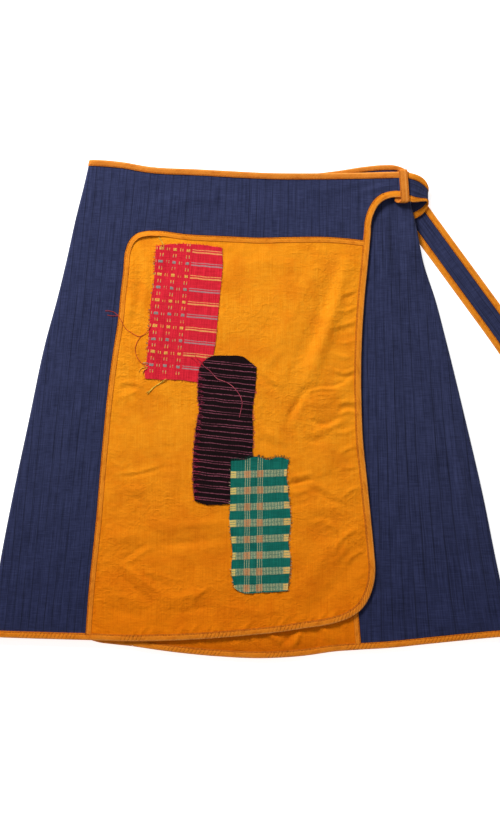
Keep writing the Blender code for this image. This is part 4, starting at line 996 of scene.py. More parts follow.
def mustard_cloth():
    """Plain mustard cotton with a fine, slightly uneven weave, painted darker towards the hem as shade."""
    made, tree, shader = matte("mustard_cotton", 0.80, 0.0, 0.06)
    across, along = cloth_coordinates(tree)
    height, tone = woven(across, along, 0.50, 0.75)
    mottled = noise(across * 0.032, along * 0.032, 5.0, 5.0).over(0.44, 0.66)
    # painted shade: darker towards the hem
    above_hem = along.over(*MUSTARD_SHADE_RANGE)
    base = mixed(tone, mixed(above_hem, MUSTARD_HEM_SHADE, MUSTARD),
                 mixed(above_hem, MUSTARD_HEM_SHADE_LIGHT, MUSTARD_LIGHT))
    specks = noise(across * 0.95, along * 1.15, 3.0, 21.0).over(0.36, 0.64)
    colour = mixed(mottled * 0.26 + specks * 0.20, base, MUSTARD_DEEP)
    # painted shade on the strip of the underlap that shows below the overlap's hem
    colour = mixed(along.below(*SHADED_MUSTARD) * 0.75, colour, UNDERLAP_SHADE_MUSTARD)
    plug(shader.inputs["Base Color"], colour)
    drift = noise(across * 0.05, along * 0.05, 2.0, 4.5) - 0.5
    rumpled = noise(across * 0.16, along * 0.16, 3.0, 6.0)
    crumples = (noise(across * 0.060 + drift * 1.5, along * 0.085, 2.0, 8.5) - 0.5).within(0.0, 0.14)
    small = (noise(across * 0.15 + drift, along * 0.19 - drift, 2.0, 9.5) - 0.5).within(0.0, 0.20)
    worked = noise(across * 0.018, along * 0.018, 1.0, 3.5).over(0.36, 0.60)
    wrinkled = (crumples * 1.3 + small * 1.3) * (worked * 0.75 + 0.25)
    textured(shader, height * 0.4 + rumpled * 2.4 + wrinkled, 0.00026)
    return made


# Across a binding from its seam, in millimetres: the groove of its stitches and a pressed crease, both with
# painted shade, and the outer fold, lighter with painted highlight and wear
BIAS_GROOVE = 1.25
BIAS_CREASE = 3.90
BIAS_OUTER_FOLD = 6.30
# Distance between the slanting tension lines where a binding is drawn tight by its stitches; their troughs
# get painted shade
BIAS_DRAWN = 4.1
# Between these heights in the frame, in metres, a binding turns from its painted shade at the hem, redder and
# darker, to its own colour
TRIM_SHADE_HEIGHTS = (-0.225, -0.030)


def bias_strip(name, colour, light, tension=1.0):
    """Bias binding: its threads run slantwise, its dye is blotched along it, and it is painted redder and
    darker towards the hem as shade.

    Near the hem it is drawn into slanting lines by its stitches, as strongly as its tension, and their
    troughs get painted shade. Its stitch groove, a pressed crease and its seam edge get painted shade too,
    and its outer fold a painted highlight with some wear.
    """
    made, tree, shader = matte(name, 0.78, 0.04, 0.06)
    across, along = cloth_coordinates(tree)
    slanted, counter = (across + along) * 0.7071, (along - across) * 0.7071
    height, tone = woven(slanted, counter, 0.42, 0.6)
    blotch = noise(across * 0.25, along * 0.09, 2.0, 8.0)
    patchy = noise(across * 0.12, along * 0.30, 2.0, 18.0)
    above_hem = from_hem(tree).over(*TRIM_SHADE_HEIGHTS)
    near_hem = (above_hem * -1.2 + 1.1).of("MAXIMUM", 0.0)
    pulled = noise(across * 0.05, along * 0.022, 2.0, 28.0).over(0.38, 0.56)
    drawn = (along + across * 0.55).repeated(BIAS_DRAWN).within(0.35, 1.3) * pulled * near_hem * tension
    # painted shade: redder and darker towards the hem
    base = mixed(tone, mixed(above_hem, TRIM_HEM_SHADE, colour), mixed(above_hem, TRIM_HEM_SHADE_LIGHT, light))
    # random blotches, and painted shade in the troughs of the drawn lines
    colour = mixed(largest([blotch.over(0.5, 0.75) * 0.5, drawn * 0.42]), base, TRIM_BLOTCH_AND_SHADE)
    groove = (across - BIAS_GROOVE).within(0.16, 0.5)
    crease = (across - BIAS_CREASE).within(0.12, 0.6) * 0.6
    # painted shade in the stitch groove and the pressed crease
    colour = mixed(largest([groove, crease]) * (patchy * 0.6 + 0.1), colour, TRIM_BLOTCH_AND_SHADE)
    # painted shade along the seam edge
    colour = mixed(across.within(0.65, 0.7) * 0.5, colour, TRIM_SEAM_SHADE)
    # painted highlight, with some wear, along the outer fold
    colour = mixed((across - BIAS_OUTER_FOLD).within(0.45, 0.9) * (patchy * 0.8 + 0.05), colour, TRIM_HIGHLIGHT_AND_WEAR)
    plug(shader.inputs["Base Color"], colour)
    textured(shader, height - drawn * 3.0, 0.00014)
    return made


def yarn(name, colour, second=None, length=4.0):
    """Thread or yarn in one colour and its shade, or in two that change about as often as this length."""
    made, tree, shader = matte(name, 0.68, 0.02, 0.10)
    place = tree.nodes.new("ShaderNodeTexCoord")
    twist = tree.nodes.new("ShaderNodeTexNoise")
    twist.inputs["Scale"].default_value = 1 / (length * MM)
    tree.links.new(place.outputs["Object"], twist.inputs["Vector"])
    share = Field(tree, twist.outputs["Fac"]).over(0.44, 0.56)
    darker = tuple(0.7 * value for value in colour[:3]) + (1.0,)
    plug(shader.inputs["Base Color"], mixed(share, colour, second or darker))
    return made


# Patches. Their sides are read off the photo, in pixels, from the lower or the left end. A check is charted
# in millimetres across and up from its first crossing, turned by some degrees, and climbs to the right.
PATCHES = {
    "patch_red": {
        "left": [
            (145.5, 378.5), (144.8, 373), (146.5, 362), (149.3, 325), (151.2, 299.4), (154.2, 280),
            (155, 261), (156, 246)],
        "right": [
            (207.5, 383.5), (210.6, 372), (213.6, 353.6), (215.6, 340), (218.8, 305.8), (221.4, 280),
            (222.6, 261), (222, 247.8)],
        "bottom": [(145.5, 378.5), (160, 379.6), (176, 379.6), (197, 382.3), (207.5, 383.5)],
        "top": [(156, 246), (176, 243.8), (199, 244.8), (222, 247.8)],
        "under": (), "first": (162.3, 248.4), "turn": -5.1, "climb": 0.0,
        "ragged": 0.30, "curl": 0.35,
    },
    "patch_black": {
        "left": [
            (194.6, 500.5), (193.2, 476), (193.4, 455.6), (195.4, 435.2), (196.9, 421.5),
            (199.3, 411.3), (197.8, 396), (198.5, 380.7), (199.4, 368)],
        "right": [
            (249.4, 504.8), (252.3, 480), (252.5, 455.6), (252.9, 440), (253.1, 402.7), (254.9, 389.9),
            (256.2, 375.6), (256.4, 367)],
        "bottom": [(194.6, 500.5), (200, 502.9), (229.9, 504.2), (249.4, 504.8)],
        "top": [
            (199.4, 368), (204.5, 360.6), (212.6, 356.2), (228, 355.8), (243.7, 357.2), (250.8, 362.6),
            (256.4, 367)],
        "under": ("patch_red",), "first": (207, 361.5), "turn": -1.0, "climb": -0.085,
        "ragged": 0.45, "curl": 0.5,
    },
    "patch_green": {
        "left": [
            (234.4, 588), (231.2, 568.5), (232.2, 555.7), (230.4, 530.2), (229.4, 521.4), (230.2, 506),
            (230.5, 480.6), (231, 461)],
        "right": [
            (287.6, 590.6), (290, 565.9), (289.7, 550.6), (288.6, 545.5), (290.6, 521.4), (290.2, 511),
            (287.9, 490.8), (286.6, 473), (289, 459.6)],
        "bottom": [(234.4, 588), (241, 592), (260.8, 592.6), (276, 591.8), (287.6, 590.6)],
        "top": [(231, 461), (244.5, 459.7), (257.2, 456.6), (268, 460), (277, 457.2), (289, 459.6)],
        "under": ("patch_black",), "first": (247.6, 474.2), "turn": -0.5, "climb": 0.050,
        "ragged": 0.40, "curl": 0.8,
    },
}
PATCH_LIFT = 1.22
PATCH_THICK = 0.50
PATCH_STEP = 1.0
PATCH_DRAPE = 0.006

RED_GROUND = (seen(188, 14, 36), seen(246, 48, 66))
RED_YARNS = (seen(234, 190, 84), seen(98, 158, 150))
RED_WEFTS = (seen(246, 182, 104), seen(156, 150, 150))
RED_LAST_ROW = -129.0
RED_ROW_PITCH = 13.6
RED_COLUMNS = (0.0, 13.6, 27.6)
RED_GAPS = (-6.4, 6.8, 20.6)
RED_WEFTS_FROM = 32.0

BLACK_GROUND = (seen(8, 1, 2), seen(30, 12, 16))
BLACK_TOP_ROW = 4.5
BLACK_YARN = seen(160, 84, 104)
BLACK_EDGE_YARN = seen(214, 66, 100)
BLACK_ROW_PITCH = 13.1

GREEN_GROUND = (seen(0, 74, 66), seen(22, 126, 110))
GREEN_TOP_EDGE = 8.0
GREEN_CREAM = seen(222, 214, 160)
GREEN_PEACH = seen(228, 134, 72)
GREEN_YELLOW = seen(238, 208, 116)
GREEN_ROW_PITCH = 17.1
GREEN_BAND = 3.7
GREEN_STRIPES = (0.0, 13.3)
GREEN_STRIPE_HALF = 3.3
GREEN_TICK = 1.55
GREEN_LINE_PITCH = 2.3
GREEN_LEFT_END = -11.8
GREEN_RIGHT_END = 38.3


def handwoven(name, ground, sheen=0.05):
    """A coarse handwoven ground in two tones, with slightly uneven coordinates and its threads' height."""
    made, tree, shader = matte(name, 0.85, sheen)
    across, along = cloth_coordinates(tree)
    wander = noise(across * 0.07, along * 0.07, 2.0, 11.0) - 0.5
    height, tone = woven(across, along, 0.85, 0.8)
    base = mixed(tone, *ground)
    return made, shader, across + wander * 1.2, along + wander * 1.8, base, height


def red_check():
    """Crimson check: three dashed columns at its left, and double weft lines, yellow and teal by turns."""
    made, shader, across, along, base, height = handwoven("red_handwoven", RED_GROUND)
    from_row = along.repeated(RED_ROW_PITCH)
    row_distance = from_row.of("ABSOLUTE")
    yellow_row = along.repeated(2 * RED_ROW_PITCH).within(RED_ROW_PITCH / 2, 0.6)
    has_rows = along.over(RED_LAST_ROW - 0.5, RED_LAST_ROW + 0.5)
    on_row = from_row.within(1.45, 0.7) * has_rows
    between_rows = (row_distance - RED_ROW_PITCH / 2).within(1.7, 0.7)
    first_column = (across - RED_COLUMNS[0] + 0.5).within(2.4, 0.7)
    other_columns = [(across - column).within(1.8, 0.7) for column in RED_COLUMNS[1:]]
    blocks = largest([first_column, *other_columns]) * on_row
    ticks = largest([((across - column).of("ABSOLUTE") - 1.35).within(0.42, 0.4) for column in RED_COLUMNS])
    dashes = largest([((across - gap).of("ABSOLUTE") - 1.2).within(0.40, 0.4) for gap in RED_GAPS])
    broken = noise(across * 0.9, along * 0.25, 2.0, 12.0).over(0.34, 0.50)
    dotted = across.repeated(1.5).within(0.50, 0.3)
    upper_weft = (from_row - 1.40).within(0.46, 0.5) * (dotted * 0.7 + 0.3)
    lower_weft = (from_row + 1.10).within(0.74, 0.6) * (dotted * 0.4 + 0.6)
    to_right = across.over(RED_WEFTS_FROM - 0.6, RED_WEFTS_FROM) * has_rows
    faded = noise(across * 0.5, along * 0.2, 2.0, 16.0) + 0.30
    wefts = largest([upper_weft, lower_weft]) * to_right * faded
    short = largest([ticks * between_rows, dashes * on_row]) * broken
    yarn_colour = mixed(yellow_row, RED_YARNS[1], RED_YARNS[0])
    weft_colour = mixed(yellow_row, RED_WEFTS[1], RED_WEFTS[0])
    flecked = noise(across * 1.3, along * 1.1, 2.0, 13.0).over(0.34, 0.56)
    streaks = noise(across * 0.9, along * 0.03, 3.0, 17.0).over(0.52, 0.68)
    streaked = mixed(streaks * 0.40, base, RED_GROUND[0])
    colour = mixed(wefts.of("MINIMUM", 0.95), streaked, weft_colour)
    colour = mixed(short * 0.85, colour, mixed(0.55, yarn_colour, RED_YARNS[0]))
    colour = mixed(blocks * flecked, colour, yarn_colour)
    plug(shader.inputs["Base Color"], colour)
    textured(shader, height + blocks * 0.8 + short * 0.6 + wefts * 0.4, 0.00026)
    return made


def black_stripe():
    """Near-black cloth with thin pink weft lines, double and single by turns, brighter where gathered."""
    made, shader, across, along, base, height = handwoven("black_handwoven", BLACK_GROUND, 0.0)
    double = (along.repeated(BLACK_ROW_PITCH).of("ABSOLUTE") - 1.15).within(0.36, 0.45)
    single = (along + BLACK_ROW_PITCH / 2).repeated(BLACK_ROW_PITCH).within(0.40, 0.45)
    broken = noise(across * 0.75, along * 0.35, 3.0, 14.0).over(0.30, 0.60)
    faded = noise(across * 0.03, along * 0.05, 1.0, 19.0).over(0.30, 0.56)
    below_top = along.below(BLACK_TOP_ROW - 3.0, BLACK_TOP_ROW + 2.0)
    lines = largest([double, single]) * (broken * 0.75 + 0.25) * (faded * 0.55 + 0.45) * below_top
    edge = (across + 10.0).within(4.0, 5.0)
    line_colour = mixed(edge, BLACK_YARN, BLACK_EDGE_YARN)
    plug(shader.inputs["Base Color"], mixed(lines * 0.85, base, line_colour))
    textured(shader, height + lines * 0.7, 0.00026)
    return made


def green_check():
    """Green cloth with ticked cream bands, crossed by two stripes of fine lines, peach where they cross."""
    made, shader, across, along, base, height = handwoven("green_handwoven", GREEN_GROUND, 0.03)
    from_band = along.repeated(GREEN_ROW_PITCH)
    band = from_band.within(GREEN_BAND, 0.7) * along.below(GREEN_TOP_EDGE - 0.5, GREEN_TOP_EDGE + 0.5)
    halves = from_band.of("ABSOLUTE").over(0.15, 0.55) * 0.55 + 0.45
    worn = noise(across * 0.9, along * 0.9, 2.0, 20.0).over(0.30, 0.52)
    ticks = across.repeated(GREEN_TICK).within(0.36, 0.4) * band * halves * (worn * 0.7 + 0.3)
    stripes = [(across - middle).within(GREEN_STRIPE_HALF, 0.8) for middle in GREEN_STRIPES]
    lines = largest([(across - middle).repeated(GREEN_LINE_PITCH).within(0.34, 0.4) * stripe
                     for middle, stripe in zip(GREEN_STRIPES, stripes)])
    strips = from_band.repeated(2.5).within(0.85, 0.5) * 0.75 + 0.2
    left_end = across.below(GREEN_LEFT_END - 0.5, GREEN_LEFT_END + 0.5) * band * strips
    right_end = across.over(GREEN_RIGHT_END - 0.5, GREEN_RIGHT_END + 0.5) * band * strips
    mottled = noise(across * 1.2, along * 1.2, 2.0, 15.0).over(0.36, 0.56)
    dotted = along.repeated(1.7).within(0.5, 0.5) * 0.6 + 0.4
    colour = mixed(lines * dotted * (worn * 0.45 + 0.22), base, GREEN_CREAM)
    colour = mixed(ticks * 0.85, colour, GREEN_CREAM)
    squares = largest([across.repeated(GREEN_TICK).within(0.42, 0.4),
                       from_band.repeated(1.7).within(0.40, 0.4) * 0.8])
    colour = mixed(largest(stripes) * band * squares * (mottled * 0.5 + 0.45), colour, GREEN_PEACH)
    colour = mixed(right_end, colour, mixed(mottled, GREEN_PEACH, GREEN_YELLOW))
    colour = mixed(left_end, colour, GREEN_YELLOW)
    plug(shader.inputs["Base Color"], colour)
    textured(shader, height + ticks * 0.6 + lines * 0.4 + left_end * 0.5, 0.00026)
    return made


NAVY_CLOTH = navy_cloth()
MUSTARD_CLOTH = mustard_cloth()
BIAS_STRIP = bias_strip("bias_strip", TRIM, TRIM_LIGHT)
# painted shade: a darker copy of the bias strip
SHADED_BIAS_STRIP = bias_strip("shaded_bias_strip", TRIM_SHADED, TRIM_SHADED_LIGHT)
TAPE_STRIP = bias_strip("flat_tape", TRIM, TRIM_LIGHT, 0.0)
TRIM_THREAD = yarn("trim_thread", STITCH)
# threads that are partly real stitching and partly a painted shadow line beside bindings and tapes
SHADOW_SEAM_THREAD = yarn("shadow_seam_thread", SHADOW_SEAM_STITCH)
BROWN_SHADOW_THREAD = yarn("brown_shadow_thread", BROWN_SHADOW_STITCH)


def belongs(piece, slot, *nodes):
    """Ties a piece to the frame: it rides on the one body, and stands for these solids."""
    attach(piece, "root")
    if nodes:
        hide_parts(*nodes)
    return piece


# The width and length of each panel's cut and its area, and the least share of its box that a sheet may fill
CUTS = {}
LEAST_OF_BOX = 0.31


def panel(node, stretches, place, finish, slot):
    """A panel of cloth in the place of its solid; the width, length and area that it is cut to are kept."""
    made = belongs(sewn(f"{node}_cloth", stretches, place, finish), slot, node)
    flat = [each["over"][..., :2] for each in stretches]
    corners = np.concatenate([plan.reshape(-1, 2) for plan in flat])
    CUTS[made.name] = (np.ptp(corners, axis=0).tolist(), sum(cut_area(plan) for plan in flat))
    return made


def laid(piece):
    """Works out a laid piece's width and area from its cut, narrower for a sparse L, and does nothing with
    them. A sparse L is told narrower.
    """
    (width, length), area = CUTS[piece.name]
    width = min(width, area / LEAST_OF_BOX / length)
    min(area, width * length)


def cut_area(plan):
    """Area of a four-sided stretch that lies flat, from the corners of its cells."""
    one, other = plan[1:, 1:] - plan[:-1, :-1], plan[1:, :-1] - plan[:-1, 1:]
    return float(np.abs(one[..., 0] * other[..., 1] - one[..., 1] * other[..., 0]).sum() / 2)


def trim(node, strip, place):
    """A binding or a tape in the place of its solid; the waist's are a darker, browner copy, painted shade,
    and tapes lie slack.
    """
    finish = SHADED_BIAS_STRIP if "waist" in node else TAPE_STRIP if "tape" in node else BIAS_STRIP
    return belongs(sewn(f"{node}_bias", [strip], place, finish), "binding", node)


def bindings(layer, place, **strips):
    """The bindings of a layer's edges."""
    return {edge: trim(f"{layer}_{edge}_binding", strip, place) for edge, strip in strips.items()}


# Stitches swing a little to the sides and dip into the cloth at their ends, in millimetres
STITCH_WOBBLE = 0.06
STITCH_DIP = 0.22


def stitch_line(place, size, edge, where, seed, start=0.0, end=1.0):
    """Stitches along an edge: short routes that dip into the cloth at both ends."""
    (length, pitch), (across, lift) = size, where
    shares = np.linspace(start, end, int((end - start) * edge.length / MM / pitch))
    half = length * MM / edge.length / 2
    wobble = STITCH_WOBBLE * uneven(shares * edge.length / MM, seed)
    lifts = (lift + np.array([-STITCH_DIP, 0.0, 0.0, -STITCH_DIP])) * MM
    routes = []
    for share, aside in zip(shares[1:-1], wobble[1:-1]):
        steps = np.array([share - half, share - half * 0.6, share + half * 0.6, share + half])
        routes.append(np.column_stack([along_edge(edge, (across + aside) * MM, steps), lifts]))
    places = place(np.concatenate(routes)) + TO_FRAME
    return list(places.reshape(-1, 4, 3))


# Sides, hems and the pieces themselves

on_back, on_underlap, on_overlap = (on_layer(layer) for layer in (BACK, UNDERLAP, OVERLAP))

PANEL_STEP = 0.0022
MUSTARD_STEP = 0.0016
HIDDEN_STEP = 0.0045
UNDERLAP_MUSTARD_STEP = 0.0027
# The share of the underlap's mustard, up from its hem, that has closer rows since its hem shows, and the rows
SEEN_MUSTARD = 0.12
SEEN_ROWS = 26
HIDDEN_ROWS = 82
ROLL_STEPS = np.linspace(0, 1, 7)


def edge_to_fold(curve, rolls):
    """An edge cut at the side seams."""
    start, end = 0.0, 1.0
    for side, radius in rolls.items():
        near = curve(0.05 if side < 0 else 0.95)
        share = share_at(curve, 0, seam_x(side, radius, near[1]))
        start, end = (share, end) if side < 0 else (start, share)
    return part_of(curve, start, end)


def roll_span(side, radius, hem, waist):
    """The lowest and highest point of the cloth that rolls round a side fold."""
    low = [height_at(hem, where(side, radius, ROLL_BOTTOM_Y)) for where in (turn_x, seam_x)]
    high = [height_at(waist, where(side, radius, ROLL_TOP_Y)) for where in (turn_x, seam_x)]
    return max(low), min(high)


def roll_stretch(side, radius, span, rows, leans):
    """The cloth that rolls round a side fold, and the line where its roll starts."""
    heights = np.linspace(*span, 200)
    turn, seam = (through(np.column_stack([where(side, radius, heights), heights]))
                  for where in (turn_x, seam_x))
    left, right = (seam, turn) if side < 0 else (turn, seam)
    bottom, top = (line(left(end), right(end)) for end in (0, 1))
    return stretch(left, right, bottom, top, ROLL_STEPS, rows, leans), turn


def navy_side(side, radius, inner_hem, inner_waist, leg, lean, columns, rows, leans):
    """The navy stretches between a side fold and a panel, and the line that goes up from their corner.

    The leg is the line up along the panel to the corner, where the cloth is split into a lower and an upper
    half, each with its own rows. The split climbs by the lean, and the line to the waist leans as much.
    """
    corner = leg(1)
    low, high = roll_span(side, radius, inner_hem, inner_waist)
    level = corner[1] + lean
    post = line(corner, point_at(inner_waist, 0, corner[0] + lean))
    rolled, halves = [], []
    for span, steps, inner in (((low, level), rows[0], leg), ((level, high), rows[1], post)):
        roll, turn = roll_stretch(side, radius, span, steps, leans)
        rolled.append(roll)
        halves.append((turn, inner) if side < 0 else (inner, turn))
    (left, right), (upper_left, upper_right) = halves
    split = line(left(1), right(1))
    hem = piece_between(inner_hem, left(0)[0], right(0)[0])
    waist = piece_between(inner_waist, upper_left(1)[0], upper_right(1)[0])
    return post, [*rolled, stretch(left, right, hem, split, columns, rows[0], leans),
                  stretch(upper_left, upper_right, split, waist, columns, rows[1], leans)]


BACK_LEANS = (-0.05, -0.20, 0.085)
OVERLAP_LEANS = (0.09, -0.12, 0.100)
UNDERLAP_LEANS = (0.08, 0.34, -0.150)


def back_pieces():
    rolls = BACK["rolls"]
    hem = edge_to_fold(smooth(BACK_HEM), rolls)
    waist = edge_to_fold(smooth(BACK_WAIST), rolls)
    inner_hem, inner_waist = beside(hem, TUCK), beside(waist, -TUCK)
    rows, columns = even(0.480, HIDDEN_STEP), even(0.440, HIDDEN_STEP)
    (left, left_turn), (right, right_turn) = (
        roll_stretch(side, radius, roll_span(side, radius, inner_hem, inner_waist), rows, BACK_LEANS)
        for side, radius in rolls.items())
    middle = stretch(left_turn, right_turn,
                     piece_between(inner_hem, left_turn(0)[0], right_turn(0)[0]),
                     piece_between(inner_waist, left_turn(1)[0], right_turn(1)[0]), columns, rows, BACK_LEANS)
    back = panel("back_panel", [left, middle, right], on_back, NAVY_CLOTH, "navy_cloth")
    over = backwards(waist)
    bound = bindings("back", on_back,
                     hem=binding(hem, BOUND_WIDTH, rolls, seed=3),
                     waist=binding(over, BACK_WAIST_WIDTH, rolls, seed=4))
    return {"panel": back, **bound, "hem_edge": hem, "waist_edge": over}


def overlap_pieces():
    rolls = OVERLAP["rolls"]
    hem = edge_to_fold(smooth(OVERLAP_HEM), rolls)
    edge = smooth(OVERLAP_EDGE)
    waist = edge_to_fold(smooth(OVERLAP_WAIST), rolls)
    border = smooth(OVERLAP_BORDER)
    inner_hem = beside(joined(hem, edge), TUCK)
    inner_edge, inner_waist = beside(edge, TUCK), beside(waist, -TUCK)
    navy_line, mustard_line = (beside(border, -(TAPE_WIDTH + gap) / 2) for gap in (-SEAM, SEAM))
    foot_y = height_at(inner_hem, OVERLAP_BORDER_FOOT_X)
    foot_share = share_at(navy_line, 1, foot_y)
    corner_share = share_at(navy_line, 1, OVERLAP_CORNER_Y)
    lower_rows, upper_rows = even(0.420, PANEL_STEP), even(0.074, PANEL_STEP)

    navy_leg, mustard_leg = (part_of(each, foot_share, corner_share) for each in (navy_line, mustard_line))
    post, side = navy_side(-1, LEFT_RADIUS, inner_hem, inner_waist, navy_leg, OVERLAP_YOKE_LEAN,
                           even(0.080, PANEL_STEP), (lower_rows, upper_rows), OVERLAP_LEANS)
    yoke_end = share_at(navy_line, 0, point_at(inner_edge, 1, OVERLAP_YOKE_END_Y)[0] - SEAM)
    free_top = part_of(inner_edge, share_at(inner_edge, 1, navy_line(yoke_end)[1]), 1.0)
    split = line(free_top(0), point_at(inner_waist, 0, OVERLAP_TAPER_X))
    yoke = stretch(post, split, part_of(navy_line, corner_share, yoke_end),
                   piece_between(inner_waist, post(1)[0], split(1)[0]),
                   even(0.230, PANEL_STEP), upper_rows, OVERLAP_LEANS)
    tip = free_top(OVERLAP_TAPER_TIP_SHARE)
    end = line(tip, point_at(inner_waist, 0, min(tip[0], OVERLAP_TAPER_TIP_X)))
    taper = stretch(split, end, part_of(free_top, 0, OVERLAP_TAPER_TIP_SHARE),
                    piece_between(inner_waist, split(1)[0], end(1)[0]),
                    even(0.070, PANEL_STEP), upper_rows, OVERLAP_LEANS)
    navy = panel("overlap_navy", [*side, yoke, taper], on_overlap, NAVY_CLOTH, "navy_cloth")

    top_share = share_at(inner_edge, 1, mustard_line(yoke_end)[1])
    near_end = yoke_end - 0.012
    top = joined(part_of(mustard_line, corner_share, near_end),
                 line(mustard_line(near_end), inner_edge(top_share)))
    round_share = share_at(inner_edge, 0, OVERLAP_ROUND_X)
    along_hem = joined(piece_between(beside(hem, TUCK), mustard_leg(0)[0], OVERLAP_HEM_END_X),
                       part_of(inner_edge, 0.004, round_share))
    cloth = stretch(mustard_leg, part_of(inner_edge, round_share, top_share), along_hem, top,
                    even(0.270, MUSTARD_STEP), even(0.410, MUSTARD_STEP))
    mustard = panel("overlap_mustard", [cloth], on_overlap, MUSTARD_CLOTH, "mustard_cloth")
    tape_line = part_of(border, share_at(border, 1, foot_y), share_at(border, 0, inner_edge(top_share)[0]))
    tape_edge = backwards(tape_line)
    border_tape = trim("overlap_border_tape", tape(tape_edge, 5, TAPE_SPRUNG), on_overlap)

    over = backwards(waist)
    bound = bindings("overlap", on_overlap,
                     hem=binding(part_of(hem, 0, 0.999), BOUND_WIDTH, rolls, 6, 0.26),
                     edge=binding(edge, BOUND_WIDTH, (), 7, 0.17),
                     waist=binding(over, WAIST_WIDTH, rolls, 8))
    return {"navy": navy, "mustard": mustard, "tape": border_tape, **bound,
            "hem_edge": hem, "free_edge": edge, "waist_edge": over, "tape_edge": tape_edge}


def underlap_pieces():
    rolls = UNDERLAP["rolls"]
    hem = edge_to_fold(backwards(smooth(UNDERLAP_HEM)), rolls)
    edge = smooth(UNDERLAP_EDGE)
    waist = edge_to_fold(smooth(UNDERLAP_WAIST), rolls)
    border = smooth(UNDERLAP_BORDER)
    inner_hem, inner_edge, inner_waist = beside(hem, TUCK), beside(edge, -TUCK), beside(waist, -TUCK)
    navy_line, mustard_line = (beside(border, (TAPE_WIDTH + gap) / 2) for gap in (-SEAM, SEAM))
    foot_share = share_at(navy_line, 1, height_at(inner_hem, UNDERLAP_NAVY_FOOT_X) + SEAM)
    corner_share = share_at(navy_line, 1, UNDERLAP_CORNER_Y)
    lower_rows, upper_rows = even(0.410, PANEL_STEP), even(0.070, PANEL_STEP)

    navy_leg, mustard_leg = (part_of(each, foot_share, corner_share) for each in (navy_line, mustard_line))
    post, side = navy_side(1, RIGHT_RADIUS, inner_hem, inner_waist, navy_leg, 0.0,
                           even(0.130, PANEL_STEP), (lower_rows, upper_rows), UNDERLAP_LEANS)
    bend, bend_share = UNDERLAP_YOKE_BEND_SHARE, 1 - UNDERLAP_YOKE_BEND_SHARE
    free_top = part_of(inner_edge, share_at(inner_edge, 1, navy_line(UNDERLAP_YOKE_FOOT_SHARE)[1]),
                       share_at(inner_edge, 1, height_at(inner_waist, UNDERLAP_WAIST_END_X)))
    yoke_line = joined(line(free_top(0), navy_line(bend)),
                       part_of(backwards(navy_line), bend_share, 1 - corner_share))
    yoke = stretch(free_top, post, yoke_line, piece_between(inner_waist, free_top(1)[0], post(1)[0]),
                   even(0.210, HIDDEN_STEP), upper_rows, UNDERLAP_LEANS)
    navy = panel("underlap_navy", [*side, yoke], on_underlap, NAVY_CLOTH, "navy_cloth")

    rim = joined(backwards(piece_between(inner_hem, UNDERLAP_HEM_END_X, mustard_leg(0)[0])),
                 part_of(inner_edge, 0.003, 1))
    round_share = share_at(rim, 0, UNDERLAP_ROUND_X)
    free = part_of(rim, round_share, share_at(rim, 1, mustard_line(UNDERLAP_YOKE_FOOT_SHARE)[1]))
    top = joined(line(free(1), mustard_line(bend)),
                 part_of(backwards(mustard_line), bend_share, 1 - corner_share))
    rows = np.concatenate([np.linspace(0, SEEN_MUSTARD, SEEN_ROWS),
                           np.linspace(SEEN_MUSTARD, 1, HIDDEN_ROWS)[1:]])
    cloth = stretch(free, mustard_leg, backwards(part_of(rim, 0, round_share)), top,
                    even(0.270, UNDERLAP_MUSTARD_STEP), rows)
    mustard = panel("underlap_mustard", [cloth], on_underlap, MUSTARD_CLOTH, "mustard_cloth")
    tape_edge = part_of(border, share_at(border, 1, height_at(inner_hem, UNDERLAP_BORDER_FOOT_X)),
                        UNDERLAP_TAPE_END_SHARE)
    border_tape = trim("underlap_border_tape", tape(tape_edge, 9), on_underlap)

    free_edge = backwards(edge)
    waist_cut = backwards(part_of(waist, share_at(waist, 0, UNDERLAP_WAIST_BINDING_X), 1))
    bound = bindings("underlap", on_underlap,
                     hem=binding(part_of(hem, 0.001, 1), BOUND_WIDTH, rolls, 10, 0.20),
                     edge=binding(free_edge, BOUND_WIDTH, (), 11),
                     waist=binding(waist_cut, WAIST_WIDTH, rolls, 12))
    return {"navy": navy, "mustard": mustard, "tape": border_tape, **bound,
            "hem_edge": hem, "free_edge": free_edge, "waist_edge": waist_cut, "tape_edge": tape_edge}


# Patches


def outline_of(patch):
    """A patch's outline in plan, from its lower left corner round."""
    bottom, right, top, left = (smooth(from_photo(patch[side]))(np.linspace(0, 1, 30))
                                for side in ("bottom", "right", "top", "left"))
    return np.concatenate([bottom, right, top[::-1], left[::-1]])


OUTLINES = {name: outline_of(patch) for name, patch in PATCHES.items()}


def covered(outline, points):
    """1 where points lie over an outline, and softly less to 0 just outside it."""
    inside = np.zeros(len(points), bool)
    x, y = points.T
    for (start_x, start_y), (end_x, end_y) in zip(outline, np.roll(outline, -1, axis=0)):
        if start_y != end_y:
            crossing = start_x + (y - start_y) / (end_y - start_y) * (end_x - start_x)
            inside ^= ((start_y > y) != (end_y > y)) & (x < crossing)
    away, _ = distance_to(outline, points)
    return np.where(inside, 1.0, ramp(1 - away / PATCH_DRAPE))


def patch_climb(names, points):
    """How much higher something lies where it crosses patches, in millimetres."""
    return sum((covered(OUTLINES[name], points) * PATCH_THICK * 1.1 for name in names), np.zeros(len(points)))


